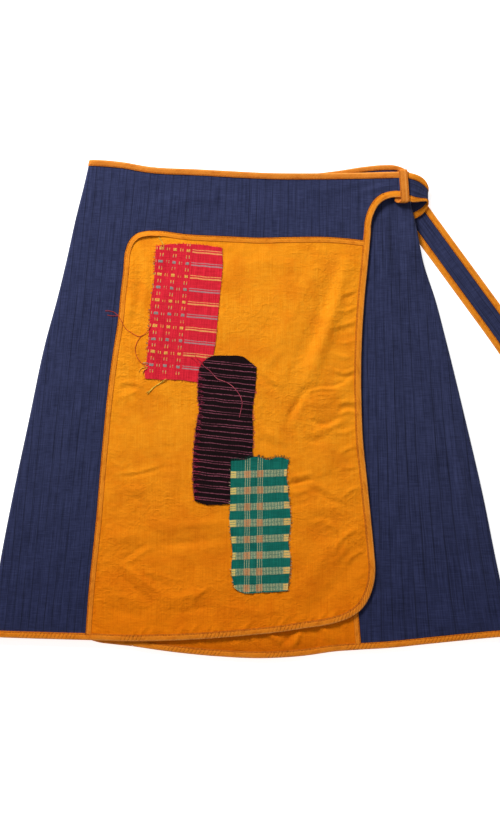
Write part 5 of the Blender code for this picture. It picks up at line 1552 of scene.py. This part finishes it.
def patch_piece(name, slot, finish, seed):
    """A patch of handwoven cloth, raw at its edges, which hand stitches pull in and let curl between them."""
    patch = PATCHES[name]
    left, right, bottom, top = (smooth(from_photo(patch[side]))
                                for side in ("left", "right", "bottom", "top"))
    wide, tall = bottom.length / MM, left.length / MM
    columns, rows = even(wide, PATCH_STEP), even(tall, PATCH_STEP)
    plan = stretch(left, right, bottom, top, columns, rows)["over"][..., :2]
    u, v = np.meshgrid(columns * wide, rows * tall)
    from_side, from_end = np.minimum(u, wide - u), np.minimum(v, tall - v)
    edge = np.minimum(from_side, from_end)
    swing = uneven(1.9 * (u + v), seed) * 0.6 + uneven(4.3 * (u - v), seed + 3) * 0.4
    outwards = np.dstack([np.where(from_side <= from_end, np.sign(u - wide / 2), 0),
                          np.where(from_side > from_end, np.sign(v - tall / 2), 0)])
    ragged = patch["ragged"] * np.exp(-edge / 1.6) * swing * MM
    plan = plan + ragged[..., None] * outwards
    curl = patch["curl"] * np.exp(-edge / 2.2) * (0.5 + 0.5 * np.sin((u + v) / 2.3 + 2 * swing))
    bubbled = 0.25 * (1 - np.exp(-edge / 4.0)) * np.sin(u / 9.0 + seed) * np.sin(v / 13.0 + 2 * seed)
    climb = patch_climb(patch["under"], plan.reshape(-1, 2)).reshape(plan.shape[:2])
    lift = PATCH_LIFT + climb + curl + np.abs(bubbled)
    turn, first = math.radians(patch["turn"]), from_photo([patch["first"]])[0]
    across = (plan - first) @ (math.cos(turn), math.sin(turn))
    along = (plan - first) @ (-math.sin(turn), math.cos(turn)) - patch["climb"] * across
    under, over = (np.dstack([plan, (lift + high) * MM]) for high in (0.0, PATCH_THICK))
    flat = {"under": under, "over": over, "cloth": np.dstack([across, along]) / MM}
    return panel(name, [flat], on_overlap, finish, slot)


# The tie, drawn straight on and then folded twice, as in the solids

TIE_WIDTH = 0.0310
TIE_BOUND = 0.0066
TIE_START = (0.1588, 0.4968)
TIE_HEADING = math.radians(-14)
TIE_FIRST_BEND = math.radians(-10)
TIE_LAST_BEND = math.radians(-12)
TIE_TO_FOLD = 0.0240
TIE_HANGS_FROM = 0.2000
TIE_DESCENT = 0.0140
TIE_SLANTS = (0.20, 0.80)
TIE_LENGTH = 0.4700
TIE_MIDDLE = 0.0008
TIE_LOOP_PINCH = 0.08
TIE_FOLD_PINCH = {"depth": 0.54, "middle": 1.33, "spread": 0.42}
# Each fold line: a point on it, the fold's radius, its angle, and that at which the tie's middle crosses it
TIE_FOLDS = [
    {"point": (0.1840, 0.4858), "radius": 0.0030,
     "angle": math.radians(-90), "crossing": math.radians(66)},
    {"point": (0.1695, 0.4769), "radius": 0.00095,
     "angle": math.radians(-104.9), "crossing": math.radians(51)},
]
TIE_SQUARE_AGAIN = 0.0500
TIE_HEIGHT_AT_FOLD = TIE_MIDDLE + 2 * sum(fold["radius"] for fold in TIE_FOLDS)
# The bindings' section is a little flatter on the tie, and lies half over and half under its middle
SECTION_MIDDLE = 0.00092
TIE_FLATTER = 0.86
TIE_STEP = 0.0020
TIE_CLOSE_STEP = 0.0015
# How many headings are taken along the tie to find where it runs
TIE_HEADINGS = 40
TIE_NAVY_STRIPE = 0.0045


def tie_flat(along, across):
    """Points of the tie before it is folded: it bends a little as it leaves the loop and as it hangs."""
    steps = along[:, None] * np.linspace(0, 1, TIE_HEADINGS)
    share = steps / TIE_TO_FOLD
    hang = (steps - TIE_HANGS_FROM) / (TIE_LENGTH - TIE_HANGS_FROM)
    heading = TIE_HEADING + TIE_FIRST_BEND * ramp(share) + TIE_LAST_BEND * np.clip(hang, 0, 1)
    halves = (heading[:, 1:] + heading[:, :-1]) / 2
    x = TIE_START[0] + along / (TIE_HEADINGS - 1) * np.cos(halves).sum(axis=1)
    y = TIE_START[1] + along / (TIE_HEADINGS - 1) * np.sin(halves).sum(axis=1)
    from_fold = (share[:, -1] - TIE_FOLD_PINCH["middle"]) / TIE_FOLD_PINCH["spread"]
    pinch = 1 - TIE_LOOP_PINCH * (1 - ramp(share[:, -1])) - TIE_FOLD_PINCH["depth"] * np.exp(-from_fold ** 2)
    slant = heading[:, -1] * ramp(2 * share[:, -1])
    return np.column_stack([x - np.sin(slant) * across * pinch, y + np.cos(slant) * across * pinch])


def past_fold(number, here):
    """How far points of the tie lie past a fold line, and the way that they are past it."""
    fold, side = TIE_FOLDS[number], (-1 if number == 0 else 1)
    outwards = side * np.array([math.sin(fold["angle"]), -math.cos(fold["angle"])])
    return (here - fold["point"]) @ outwards, outwards


def tie_reaches(number):
    """How far along its middle the tie is when it starts to turn round a fold."""
    along = np.arange(1, 1000) * 0.0001
    here, clear = tie_flat(along, np.zeros(len(along))), np.ones(len(along), bool)
    for before in range(number):
        past, outwards = past_fold(before, here)
        turn = math.pi * TIE_FOLDS[before]["radius"]
        clear &= past >= turn
        here = here - outwards * (2 * past - turn)[:, None]
    return float(along[np.argmax(clear & (past_fold(number, here)[0] > 0))])


def tie_stations(end):
    """Places along the tie, closer where it folds, and their slants, so that its rows run along its folds."""
    first, second = tie_reaches(0), tie_reaches(1)
    first_turn, second_turn = (math.pi * fold["radius"] / math.sin(fold["crossing"]) for fold in TIE_FOLDS)
    square_again = second + second_turn + TIE_SQUARE_AGAIN
    knots = [0, first, first + first_turn, second, second + second_turn, square_again, end]
    steps = (12, 18, 6, 14, 24, round((end - square_again) / TIE_STEP))
    places = np.concatenate([[0.0], *(np.linspace(start, stop, count + 1)[1:]
                                      for start, stop, count in zip(knots, knots[1:], steps))])
    slants = [0, -TIE_SLANTS[0], -TIE_SLANTS[0], -TIE_SLANTS[1], -TIE_SLANTS[1], 0]
    return places, np.interp(places, knots[:6], slants)


def on_tie(points):
    """Points of the folded tie: over the skirt, back beneath itself, and out again along the surface."""
    along, across, lift = points.T
    along = along + np.interp(along, TIE_PLACES, TIE_SLANTED) * across
    lift = (lift - SECTION_MIDDLE) * TIE_FLATTER
    here, face = tie_flat(along, across), 1
    height = np.full(len(points), TIE_HEIGHT_AT_FOLD)
    placed, ahead = np.empty((len(points), 3)), np.ones(len(points), bool)
    for number, fold in enumerate(TIE_FOLDS):
        radius = fold["radius"]
        past, outwards = past_fold(number, here)
        level = height + face * lift
        if number == 0:
            over_skirt = layer_height(OVERLAP, here) + TIE_MIDDLE + lift
            level = level + (over_skirt - level) * ramp(-past / TIE_DESCENT)
        before, beyond = ahead & (past <= 0), ahead & (past >= math.pi * radius)
        placed[before] = np.column_stack([here, level])[before]
        reach = radius + face * lift
        turned = here + outwards * (reach * np.sin(past / radius) - past)[:, None]
        turning = ahead & ~before & ~beyond
        placed[turning] = np.column_stack([turned, height - radius + reach * np.cos(past / radius)])[turning]
        here = here - outwards * (2 * past - math.pi * radius)[:, None]
        height, face, ahead = height - 2 * radius, -face, beyond
    placed[ahead] = np.column_stack([here, height + face * lift])[ahead]
    return placed


TIE_PLACES, TIE_SLANTED = tie_stations(TIE_LENGTH - TIE_BOUND)


def tie_pieces():
    half = TIE_WIDTH / 2
    strip, end = half - TUCK, TIE_LENGTH - TUCK
    columns = np.concatenate([TIE_PLACES, np.linspace(TIE_PLACES[-1], end, 4)[1:]]) / end
    lower_left, lower_right, upper_left, upper_right = (0, -strip), (end, -strip), (0, strip), (end, strip)
    cloth = stretch(line(lower_left, upper_left), line(lower_right, upper_right),
                    line(lower_left, lower_right), line(upper_left, upper_right),
                    columns, even(2 * strip, TIE_CLOSE_STEP))
    cloth["cloth"] = cloth["cloth"][..., ::-1] + TIE_NAVY_STRIPE / MM
    made = {"strip": panel("tie_strip", [cloth], on_tie, NAVY_CLOTH, "navy_cloth")}
    bound = TIE_PLACES[-1]
    shares = TIE_PLACES / bound
    edges = {"upper": line((bound, half), (0, half)), "lower": line((0, -half), (bound, -half)),
             "end": line((TIE_LENGTH, -half), (TIE_LENGTH, half))}
    stations = {"upper": 1 - shares[::-1], "lower": shares,
                "end": even(edges["end"].length, TIE_CLOSE_STEP)}
    made |= bindings("tie", on_tie, **{
        side: binding(edge, TIE_BOUND, seed=13 + number, shares=stations[side])
        for number, (side, edge) in enumerate(edges.items())})
    return made, edges


# The belt loop: a flat strip with turned edges, round the tie and the waist's edge, its ends meeting behind

LOOP_WIDTH = 9.2
LOOP_TOP = 512.6
LOOP_BOTTOM = 478.0
LOOP_FRONT_X = (160.2, 162.5)
LOOP_REAR_X = (159.0, 156.0)
LOOP_FRONT_LIFT = 2.86
LOOP_REAR_LIFT = -0.90
# Its section: across, and half its thickness
LOOP_SECTION = [
    (-4.60, 0.18), (-4.48, 0.40), (-4.15, 0.54), (-3.55, 0.44), (-2.60, 0.56), (0.00, 0.60), (2.60, 0.56),
    (3.55, 0.44), (4.15, 0.54), (4.48, 0.40), (4.60, 0.18),
]


def loop_route():
    """Round the loop from the middle of its rear, upwards: x, y, lift and the way out, in millimetres."""
    middle, radius = (LOOP_FRONT_LIFT + LOOP_REAR_LIFT) / 2, (LOOP_FRONT_LIFT - LOOP_REAR_LIFT) / 2
    top, bottom = LOOP_TOP - radius, LOOP_BOTTOM + radius
    rear_up = {"x": LOOP_REAR_X[::-1], "y": (bottom, top), "lift": LOOP_REAR_LIFT, "out": -1}
    front_down = {"x": LOOP_FRONT_X, "y": (top, bottom), "lift": LOOP_FRONT_LIFT, "out": 1}

    def straight(run, shares):
        (x, end_x), (y, end_y) = run["x"], run["y"]
        return [(x + share * (end_x - x), y + share * (end_y - y), run["lift"], 0, run["out"])
                for share in shares]

    def turned(x, end_x, y, way, angles):
        return [(x + angle / math.pi * (end_x - x), y + way * radius * math.sin(angle),
                 middle - way * radius * math.cos(angle), way * math.sin(angle), -way * math.cos(angle))
                for angle in angles]

    half_turn = np.radians(np.linspace(0, 180, 13))
    return np.array([
        *straight(rear_up, np.linspace(0.5, 1, 9)),
        *turned(LOOP_REAR_X[0], LOOP_FRONT_X[0], top, 1, half_turn[1:]),
        *straight(front_down, np.linspace(0, 1, 24)[1:-1]),
        *turned(LOOP_FRONT_X[1], LOOP_REAR_X[1], bottom, -1, half_turn),
        *straight(rear_up, np.linspace(0, 0.5, 9)[1:]),
    ])


LOOP_ROUTE = loop_route()
LOOP_LENGTHS = np.concatenate([[0.0], np.cumsum(np.linalg.norm(np.diff(LOOP_ROUTE[:, 1:3], axis=0), axis=1))])


def on_loop(points):
    """Points of the loop's strip, across and round it in metres, put round the tie."""
    x, y, lift, out_y, out_z = (np.interp(points[:, 1] / MM, LOOP_LENGTHS, column)
                                for column in LOOP_ROUTE.T)
    reach = points[:, 2] / MM
    plan = np.column_stack([x + points[:, 0] / MM, y + out_y * reach]) * MM
    return np.column_stack([plan, layer_height(OVERLAP, plan) + (lift + out_z * reach) * MM])


def belt_loop():
    around = np.linspace(0.05, LOOP_LENGTHS[-1] - 0.05, 130)
    across, half = np.array(LOOP_SECTION).T
    across_grid, around_grid = np.meshgrid(across, around)
    ripple = 0.05 * pucker(around_grid, across_grid, 17) * (half > 0.5)
    over = np.dstack([across_grid, around_grid, np.broadcast_to(half, across_grid.shape) + ripple]) * MM
    under = over * (1, 1, -1)
    cloth = np.dstack([across_grid + LOOP_WIDTH / 2, around_grid])
    # the loop takes the darker copy of the bias strip, painted shade
    made = sewn("belt_loop_bias", [{"under": under, "over": over, "cloth": cloth}], on_loop, SHADED_BIAS_STRIP)
    return belongs(made, "binding", "belt_loop")


back = back_pieces()
underlap = underlap_pieces()
overlap = overlap_pieces()
red_patch = patch_piece("patch_red", "red_check", red_check(), 1)
black_patch = patch_piece("patch_black", "black_stripe", black_stripe(), 2)
green_patch = patch_piece("patch_green", "green_check", green_check(), 3)
tie, tie_edges = tie_pieces()
loop = belt_loop()


# Sewing: stitches through the bindings and tapes, and the thread of the seams beside them, dark so that it
# also paints the shadow line there. Each line of stitches is an edge, its place beside that, a seed, and the
# shares of the edge where it starts and ends.

# The edges of a front, and the places beside an edge in millimetres: across from it, and over the underside
EDGES = ("hem_edge", "free_edge", "waist_edge", "tape_edge")
STITCH_LIFT = 1.60
SEAM_LIFT = 1.28
ON_BINDING = (6.0, STITCH_LIFT)
ON_WAIST = (5.5, STITCH_LIFT)
ON_BACK_WAIST = (4.5, STITCH_LIFT)
ON_TIE = (5.6, STITCH_LIFT)
ON_TAPE = (1.05, 1.52)
ON_LOOP = (3.55, 0.52)
SEAM_GAP = 0.15
OUTSIDE_TAPE = (-SEAM_GAP, SEAM_LIFT)
INSIDE_TAPE, BESIDE_TIE, BESIDE_BINDING, BESIDE_WAIST, BESIDE_BACK_WAIST = (
    (width / MM + SEAM_GAP, SEAM_LIFT)
    for width in (TAPE_WIDTH, TIE_BOUND, BOUND_WIDTH, WAIST_WIDTH, BACK_WAIST_WIDTH))
# The length and the pitch of the stitches
STITCHES = (2.3, 2.9)
SEAM_STITCHES = (2.55, 2.7)
LOOP_STITCHES = (1.7, 2.3)
# In photo pixels: down to here the thread along the overlap's free edge lies on navy cloth, and from here to
# the right the thread along the underlap's hem does
DARK_SEAM_END = 239
DARK_HEM_START = 362


def stitched(name, thread, radius, place, size, *lines):
    """One piece of sewing thread for several lines of stitches of one size."""
    routes = [route for each in lines for route in stitch_line(place, size, *each)]
    return belongs(strands(name, routes, radius * MM, thread), "binding")


def overlap_sewing():
    hem, edge, waist, tape_edge = (overlap[key] for key in EDGES)
    dark_from = share_at(edge, 1, from_photo([(0, DARK_SEAM_END)])[0, 1])
    stitched("overlap_stitches", TRIM_THREAD, 0.25, on_overlap, STITCHES, (hem, ON_BINDING, 31, 0.01),
             (edge, ON_BINDING, 32, 0.0, 0.97), (waist, ON_WAIST, 33, 0.02), (tape_edge, ON_TAPE, 34))
    stitched("overlap_brown_seams", BROWN_SHADOW_THREAD, 0.22, on_overlap, SEAM_STITCHES,
             (hem, BESIDE_BINDING, 35, 0.01), (edge, BESIDE_BINDING, 36, 0.0, dark_from),
             (tape_edge, INSIDE_TAPE, 40))
    stitched("overlap_dark_seams", SHADOW_SEAM_THREAD, 0.30, on_overlap, SEAM_STITCHES,
             (edge, BESIDE_BINDING, 37, dark_from, 0.97), (waist, BESIDE_WAIST, 38, 0.02),
             (tape_edge, OUTSIDE_TAPE, 39))


def underlap_sewing():
    hem, edge, waist, tape_edge = (underlap[key] for key in EDGES)
    dark_from = share_at(hem, 0, from_photo([(DARK_HEM_START, 0)])[0, 0])
    stitched("underlap_stitches", TRIM_THREAD, 0.25, on_underlap, STITCHES, (hem, ON_BINDING, 51, 0.0, 0.99),
             (edge, ON_BINDING, 52), (waist, ON_WAIST, 53, 0.0, 0.98), (tape_edge, ON_TAPE, 54))
    stitched("underlap_brown_seams", BROWN_SHADOW_THREAD, 0.22, on_underlap, SEAM_STITCHES,
             (hem, BESIDE_BINDING, 59, 0.0, dark_from), (tape_edge, INSIDE_TAPE, 58))
    stitched("underlap_dark_seams", SHADOW_SEAM_THREAD, 0.28, on_underlap, SEAM_STITCHES,
             (hem, BESIDE_BINDING, 55, dark_from, 0.99), (waist, BESIDE_WAIST, 56, 0.0, 0.98),
             (tape_edge, OUTSIDE_TAPE, 57))


def back_sewing():
    hem, waist = back["hem_edge"], back["waist_edge"]
    stitched("back_stitches", TRIM_THREAD, 0.25, on_back, STITCHES, (hem, ON_BINDING, 61, 0.01, 0.99),
             (waist, ON_BACK_WAIST, 62, 0.02, 0.98))
    stitched("back_seams", SHADOW_SEAM_THREAD, 0.28, on_back, SEAM_STITCHES,
             (waist, BESIDE_BACK_WAIST, 63, 0.02, 0.98))


def tie_sewing():
    upper, lower = tie_edges["upper"], tie_edges["lower"]
    stitched("tie_stitches", TRIM_THREAD, 0.25, on_tie, STITCHES, (upper, ON_TIE, 71), (lower, ON_TIE, 72))
    stitched("tie_seams", SHADOW_SEAM_THREAD, 0.28, on_tie, SEAM_STITCHES,
             (upper, BESIDE_TIE, 73), (lower, BESIDE_TIE, 74))


def loop_sewing():
    middle = line((0, 0), (0, LOOP_LENGTHS[-1] * MM))
    across, lift = ON_LOOP
    stitched("belt_loop_stitches", TRIM_THREAD, 0.22, on_loop, LOOP_STITCHES,
             (middle, (-across, lift), 80), (middle, (across, lift), 82))


# Raw yarn ends along the patches' cut sides, and loose threads that lie on the cloth

YARNS = {
    "crimson": yarn("crimson_yarn", seen(206, 30, 52)),
    "brick": yarn("brick_yarn", seen(204, 66, 44)),
    "yellow": yarn("yellow_yarn", seen(240, 196, 70)),
    "teal": yarn("teal_yarn", seen(96, 156, 156)),
    "black": yarn("black_yarn", seen(24, 13, 20)),
    "pink": yarn("pink_yarn", seen(214, 66, 104), seen(160, 44, 78)),
    "rose": yarn("rose_yarn", seen(178, 62, 92), seen(92, 30, 52), 2.5),
    "faded pink": yarn("faded_pink_yarn", seen(206, 98, 112), seen(168, 66, 84), 9.0),
    "green": yarn("green_yarn", seen(4, 66, 56)),
    "cream": yarn("cream_yarn", seen(232, 214, 170)),
    "peach": yarn("peach_yarn", seen(232, 150, 96)),
}
OUTWARDS = {"left": 1, "top": 1, "right": -1, "bottom": -1}
FRAY_START = 0.6
FRAY_RADIUS = 0.13 * MM
# For each patch: side, yarn, how many ends, shortest and longest in millimetres, and its stretch of the side
FRAYS = {
    "patch_red": [
        ("left", "crimson", 70, 0.8, 2.6, 0.0, 1.0), ("left", "yellow", 22, 1.0, 3.2, 0.05, 1.0),
        ("left", "teal", 18, 1.0, 2.8, 0.05, 0.95), ("right", "crimson", 60, 0.5, 1.5, 0.2, 1.0),
        ("right", "yellow", 16, 0.5, 1.6, 0.2, 1.0), ("top", "crimson", 44, 0.5, 1.7, 0.0, 1.0),
        ("bottom", "crimson", 34, 0.6, 2.0, 0.0, 0.85),
    ],
    "patch_black": [
        ("left", "black", 80, 0.7, 2.2, 0.0, 1.0), ("left", "pink", 70, 0.6, 2.4, 0.0, 0.95),
        ("right", "black", 70, 0.6, 1.8, 0.0, 1.0), ("right", "pink", 60, 0.8, 2.8, 0.2, 0.95),
        ("bottom", "black", 34, 0.5, 1.6, 0.0, 1.0), ("top", "black", 30, 0.4, 1.2, 0.0, 1.0),
    ],
    "patch_green": [
        ("left", "green", 70, 0.6, 2.2, 0.0, 1.0), ("left", "cream", 26, 0.6, 2.0, 0.0, 0.95),
        ("right", "green", 70, 0.7, 2.6, 0.0, 1.0), ("right", "cream", 60, 0.8, 2.8, 0.1, 0.95),
        ("right", "peach", 24, 0.8, 2.2, 0.0, 0.9), ("top", "green", 120, 1.2, 3.6, 0.0, 1.0),
        ("bottom", "green", 40, 0.5, 1.8, 0.0, 1.0),
    ],
}
# Loose threads: yarn, half thickness in millimetres, photo points
LOOSE_THREADS = [
    ("brick", 0.27, [
        (105.3, 311.0), (112, 311.5), (118.7, 316.3), (122, 322), (125, 327.8), (131, 332.5),
        (139.8, 336.4), (147.4, 331.6), (151.2, 325.4)]),
    ("brick", 0.27, [(107.5, 315.0), (112, 316), (118, 316)]),
    ("brick", 0.27, [
        (141.5, 336), (137.2, 342), (135.4, 350), (137.8, 358.4), (141, 362.5), (145.5, 365.8)]),
    ("faded pink", 0.30, [
        (199.0, 361.5), (202.5, 365), (206.2, 368), (210.5, 371.4), (213.6, 375.1), (217.7, 379.0),
        (224.8, 381.6), (230.9, 385.0), (236, 390.0), (240.1, 396), (242.2, 403), (241.0, 410),
        (239.3, 417.6)]),
    ("crimson", 0.26, [(194.5, 354.5), (197.5, 359.0), (201.5, 362.0), (204.0, 366.5)]),
    ("crimson", 0.24, [(190.5, 357.0), (195.0, 360.5), (199.5, 366.0)]),
    ("yellow", 0.34, [(166.4, 379.0), (160.5, 382.6), (155.6, 386.0), (151.0, 390.4), (147.2, 394.4)]),
    ("yellow", 0.28, [(165.6, 379.4), (159.5, 383.6), (154.4, 387.2), (150.2, 390.6), (148.4, 393.2)]),
    ("yellow", 0.26, [(166.0, 379.6), (158.5, 384.6), (153.0, 387.4), (149.4, 391.0), (145.8, 392.8)]),
    ("yellow", 0.28, [(158.9, 237.0), (160.8, 241.0), (163.9, 245.4), (163.2, 248.6)]),
    ("yellow", 0.26, [(159.7, 237.6), (162.6, 243.0), (161.0, 248.0)]),
    ("yellow", 0.26, [(148.0, 367.2), (143.0, 367.4), (140.0, 369.8), (138.8, 372.6)]),
    ("yellow", 0.24, [(147.5, 368.6), (144.0, 370.2), (142.6, 374.4)]),
    ("teal", 0.22, [(148.5, 363.6), (144.6, 362.6), (142.2, 364.4)]),
]
TAPE_RELIEF = 0.55
THREAD_SAG = 0.30


def cover(points):
    """Height of what lies on the overlap at plan points, over the layer's underside, in millimetres."""
    height = np.full(len(points), WOVEN[1] / MM)
    tape_middle = beside(overlap["tape_edge"], TAPE_WIDTH / 2)(np.linspace(0, 1, 120))
    away, _ = distance_to(tape_middle, points)
    height += TAPE_RELIEF * ramp(2 - away / (TAPE_WIDTH / 2))
    patches = patch_climb(PATCHES, points)
    return height + patches * (1 + (PATCH_LIFT - WOVEN[1] / MM) / PATCH_THICK) + 0.35 * np.clip(patches, 0, 1)


def loose_thread(points, radius):
    """A thread that lies on whatever is beneath it and rises off it a little here and there."""
    curve = smooth(from_photo(points))
    plan = curve(np.linspace(0, 1, max(8, round(curve.length / 0.0012))))
    along = np.linspace(0, 1, len(plan))
    lift = cover(plan) + radius + THREAD_SAG * np.sin(math.pi * along) * (1 + np.sin(9 * along)) / 2
    return on_overlap(np.column_stack([plan, lift * MM])) + TO_FRAME


def side_of(patch, side, shares):
    """Points on a patch's side, the way along it there and the way out of the patch."""
    edge = smooth(from_photo(PATCHES[patch][side]))
    way = edge(np.minimum(shares + 0.01, 1)) - edge(np.maximum(shares - 0.01, 0))
    way /= np.linalg.norm(way, axis=1, keepdims=True)
    return edge(shares), way, OUTWARDS[side] * np.column_stack([-way[:, 1], way[:, 0]])


def frayed(patch, side, count, shortest, longest, start, end, rng):
    """Yarn ends that come out of a raw side, each with its own length and lean, and droop to the cloth."""
    shares = rng.uniform(start, end, count)
    here, way, out = side_of(patch, side, shares)
    beneath = patch_climb(PATCHES[patch]["under"], here)
    steps = np.array([0.0, 0.4, 0.75, 1.0])
    routes = []
    for point, along, outwards, below, length, lean, rise in zip(
            here, way, out, beneath, rng.uniform(shortest, longest, count), rng.normal(0, 0.45, count),
            rng.uniform(0.0, 0.5, count)):
        reach = steps * (length + FRAY_START) - FRAY_START
        plan = point + (outwards * reach[:, None] + along * (lean * length * steps ** 2)[:, None]) * MM
        lift = PATCH_LIFT + below + 0.30 + rise * np.sin(math.pi * steps * 0.8) - 0.12 * steps
        routes.append(np.column_stack([plan, lift * MM]))
    places = on_overlap(np.concatenate(routes)) + TO_FRAME
    return list(places.reshape(count, len(steps), 3))


GATHER_GROUP = 6.55
GATHER_YARNS = 6
GATHER_SPREAD = 2.6
# Lifts of a gathered yarn, from the patch's edge inwards
GATHER_LIFTS = np.array([1.5, 2.15, 2.2, 2.15, 2.05, 1.8])


def gathered_wefts(rng):
    """The black patch's pink wefts, bunched where its left side is drawn in: fans of yarn over its edge."""
    edge = smooth(from_photo(PATCHES["patch_black"]["left"]))
    groups = int(edge.length / MM / GATHER_GROUP)
    steps = np.linspace(0, 1, len(GATHER_LIFTS))
    routes = []
    for middle in (np.arange(groups) + 0.35) / groups:
        if not 0.03 < middle < 0.93:
            continue
        fan = rng.uniform(-1, 1, GATHER_YARNS) * GATHER_SPREAD
        depth = rng.uniform(2.6, 6.6, GATHER_YARNS)
        for spread, reach in zip(fan, depth):
            share = np.clip(middle + spread * MM / edge.length, 0, 1)
            here, way, out = side_of("patch_black", "left", np.full(len(steps), share))
            inwards = -0.8 + steps * (reach + 0.8)
            towards = -spread * 0.50 * steps ** 1.5 + 0.9 * np.sin(math.pi * steps)
            plan = here + (-out * inwards[:, None] + way * towards[:, None]) * MM
            beneath = patch_climb(PATCHES["patch_black"]["under"], plan)
            lift = GATHER_LIFTS + beneath + rng.uniform(0, 0.15)
            routes.append(np.column_stack([plan, lift * MM]))
    places = on_overlap(np.concatenate(routes)) + TO_FRAME
    return list(places.reshape(len(routes), len(steps), 3))


def loose_yarns():
    rng = np.random.default_rng(5)
    slots = {"patch_red": "red_check", "patch_black": "black_stripe", "patch_green": "green_check"}
    for patch, frays in FRAYS.items():
        for side, colour, count, *size in frays:
            ends = frayed(patch, side, count, *size, rng)
            made = strands(f"{patch}_{side}_{colour}_fray", ends, FRAY_RADIUS, YARNS[colour], True)
            belongs(made, slots[patch])
    wefts = strands("patch_black_gathers", gathered_wefts(rng), FRAY_RADIUS, YARNS["rose"])
    belongs(wefts, "black_stripe")
    for number, (colour, radius, points) in enumerate(LOOSE_THREADS, 1):
        route = loose_thread(points, radius)
        made = strands(f"loose_thread_{number}", [route], radius * MM, YARNS[colour], True)
        belongs(made, "black_stripe" if "pink" in colour else "red_check")


overlap_sewing()
underlap_sewing()
back_sewing()
tie_sewing()
loop_sewing()
loose_yarns()


# Camera, light and floor


def photo_camera():
    """A long lens straight above the laid skirt, so far up that a photo pixel has its size on the cloth."""
    lens = bpy.data.cameras.new("photo_camera")
    lens.lens = 85.0
    lens.sensor_width = 36.0
    height = PHOTO_HEIGHT * PIXEL * lens.lens / lens.sensor_width
    made = bpy.data.objects.new("photo_camera", lens)
    middle = from_photo([PHOTO_MIDDLE])[0] + TO_FRAME[:2]
    made.location = (middle[0], middle[1], OVERLAP_HEIGHT + CLOTH + height)
    lens.clip_start, lens.clip_end = 0.1, 50
    bpy.context.collection.objects.link(made)
    bpy.context.scene.camera = made


def lamp(name, place, size, power, towards=(0.0, 0.0, 0.0)):
    """A square soft light at a place, turned towards a point."""
    light = bpy.data.lights.new(name, "AREA")
    light.size = size
    light.energy = power
    made = bpy.data.objects.new(name, light)
    made.location = place
    made.rotation_euler = (Vector(towards) - Vector(place)).to_track_quat("-Z", "Y").to_euler()
    bpy.context.collection.objects.link(made)


def studio():
    photo_camera()
    lamp("window", (-0.80, 1.45, 1.05), 0.55, 45)
    lamp("filler", (0.9, -0.9, 1.8), 1.6, 3)
    world = bpy.data.worlds.new("studio")
    world.use_nodes = True
    world.node_tree.nodes["Background"].inputs["Color"].default_value = (1, 1, 1, 1)
    world.node_tree.nodes["Background"].inputs["Strength"].default_value = 0.24
    bpy.context.scene.world = world
    bpy.context.scene.view_settings.view_transform = "Standard"
    mesh = bmesh.new()
    bmesh.ops.create_grid(mesh, x_segments=1, y_segments=1, size=4.0)
    bmesh.ops.translate(mesh, verts=mesh.verts, vec=(0, 0, -0.0002))
    paper, tree, shader = matte("white_paper", 0.9, 0.0)
    fibres = tree.nodes.new("ShaderNodeTexNoise")
    fibres.inputs["Scale"].default_value = 60
    shade = Field(tree, fibres.outputs["Fac"])
    plug(shader.inputs["Base Color"], mixed(shade, seen(236, 236, 236), seen(242, 242, 242)))
    shader.inputs["Emission Color"].default_value = (1, 1, 1, 1)
    shader.inputs["Emission Strength"].default_value = 0.75
    as_object("paper_floor", mesh, paper)


studio()

laid(back["panel"])
laid(underlap["navy"])
laid(underlap["mustard"])
laid(overlap["navy"])
laid(overlap["mustard"])
laid(tie["strip"])
for patch in (red_patch, black_patch, green_patch):
    laid(patch)
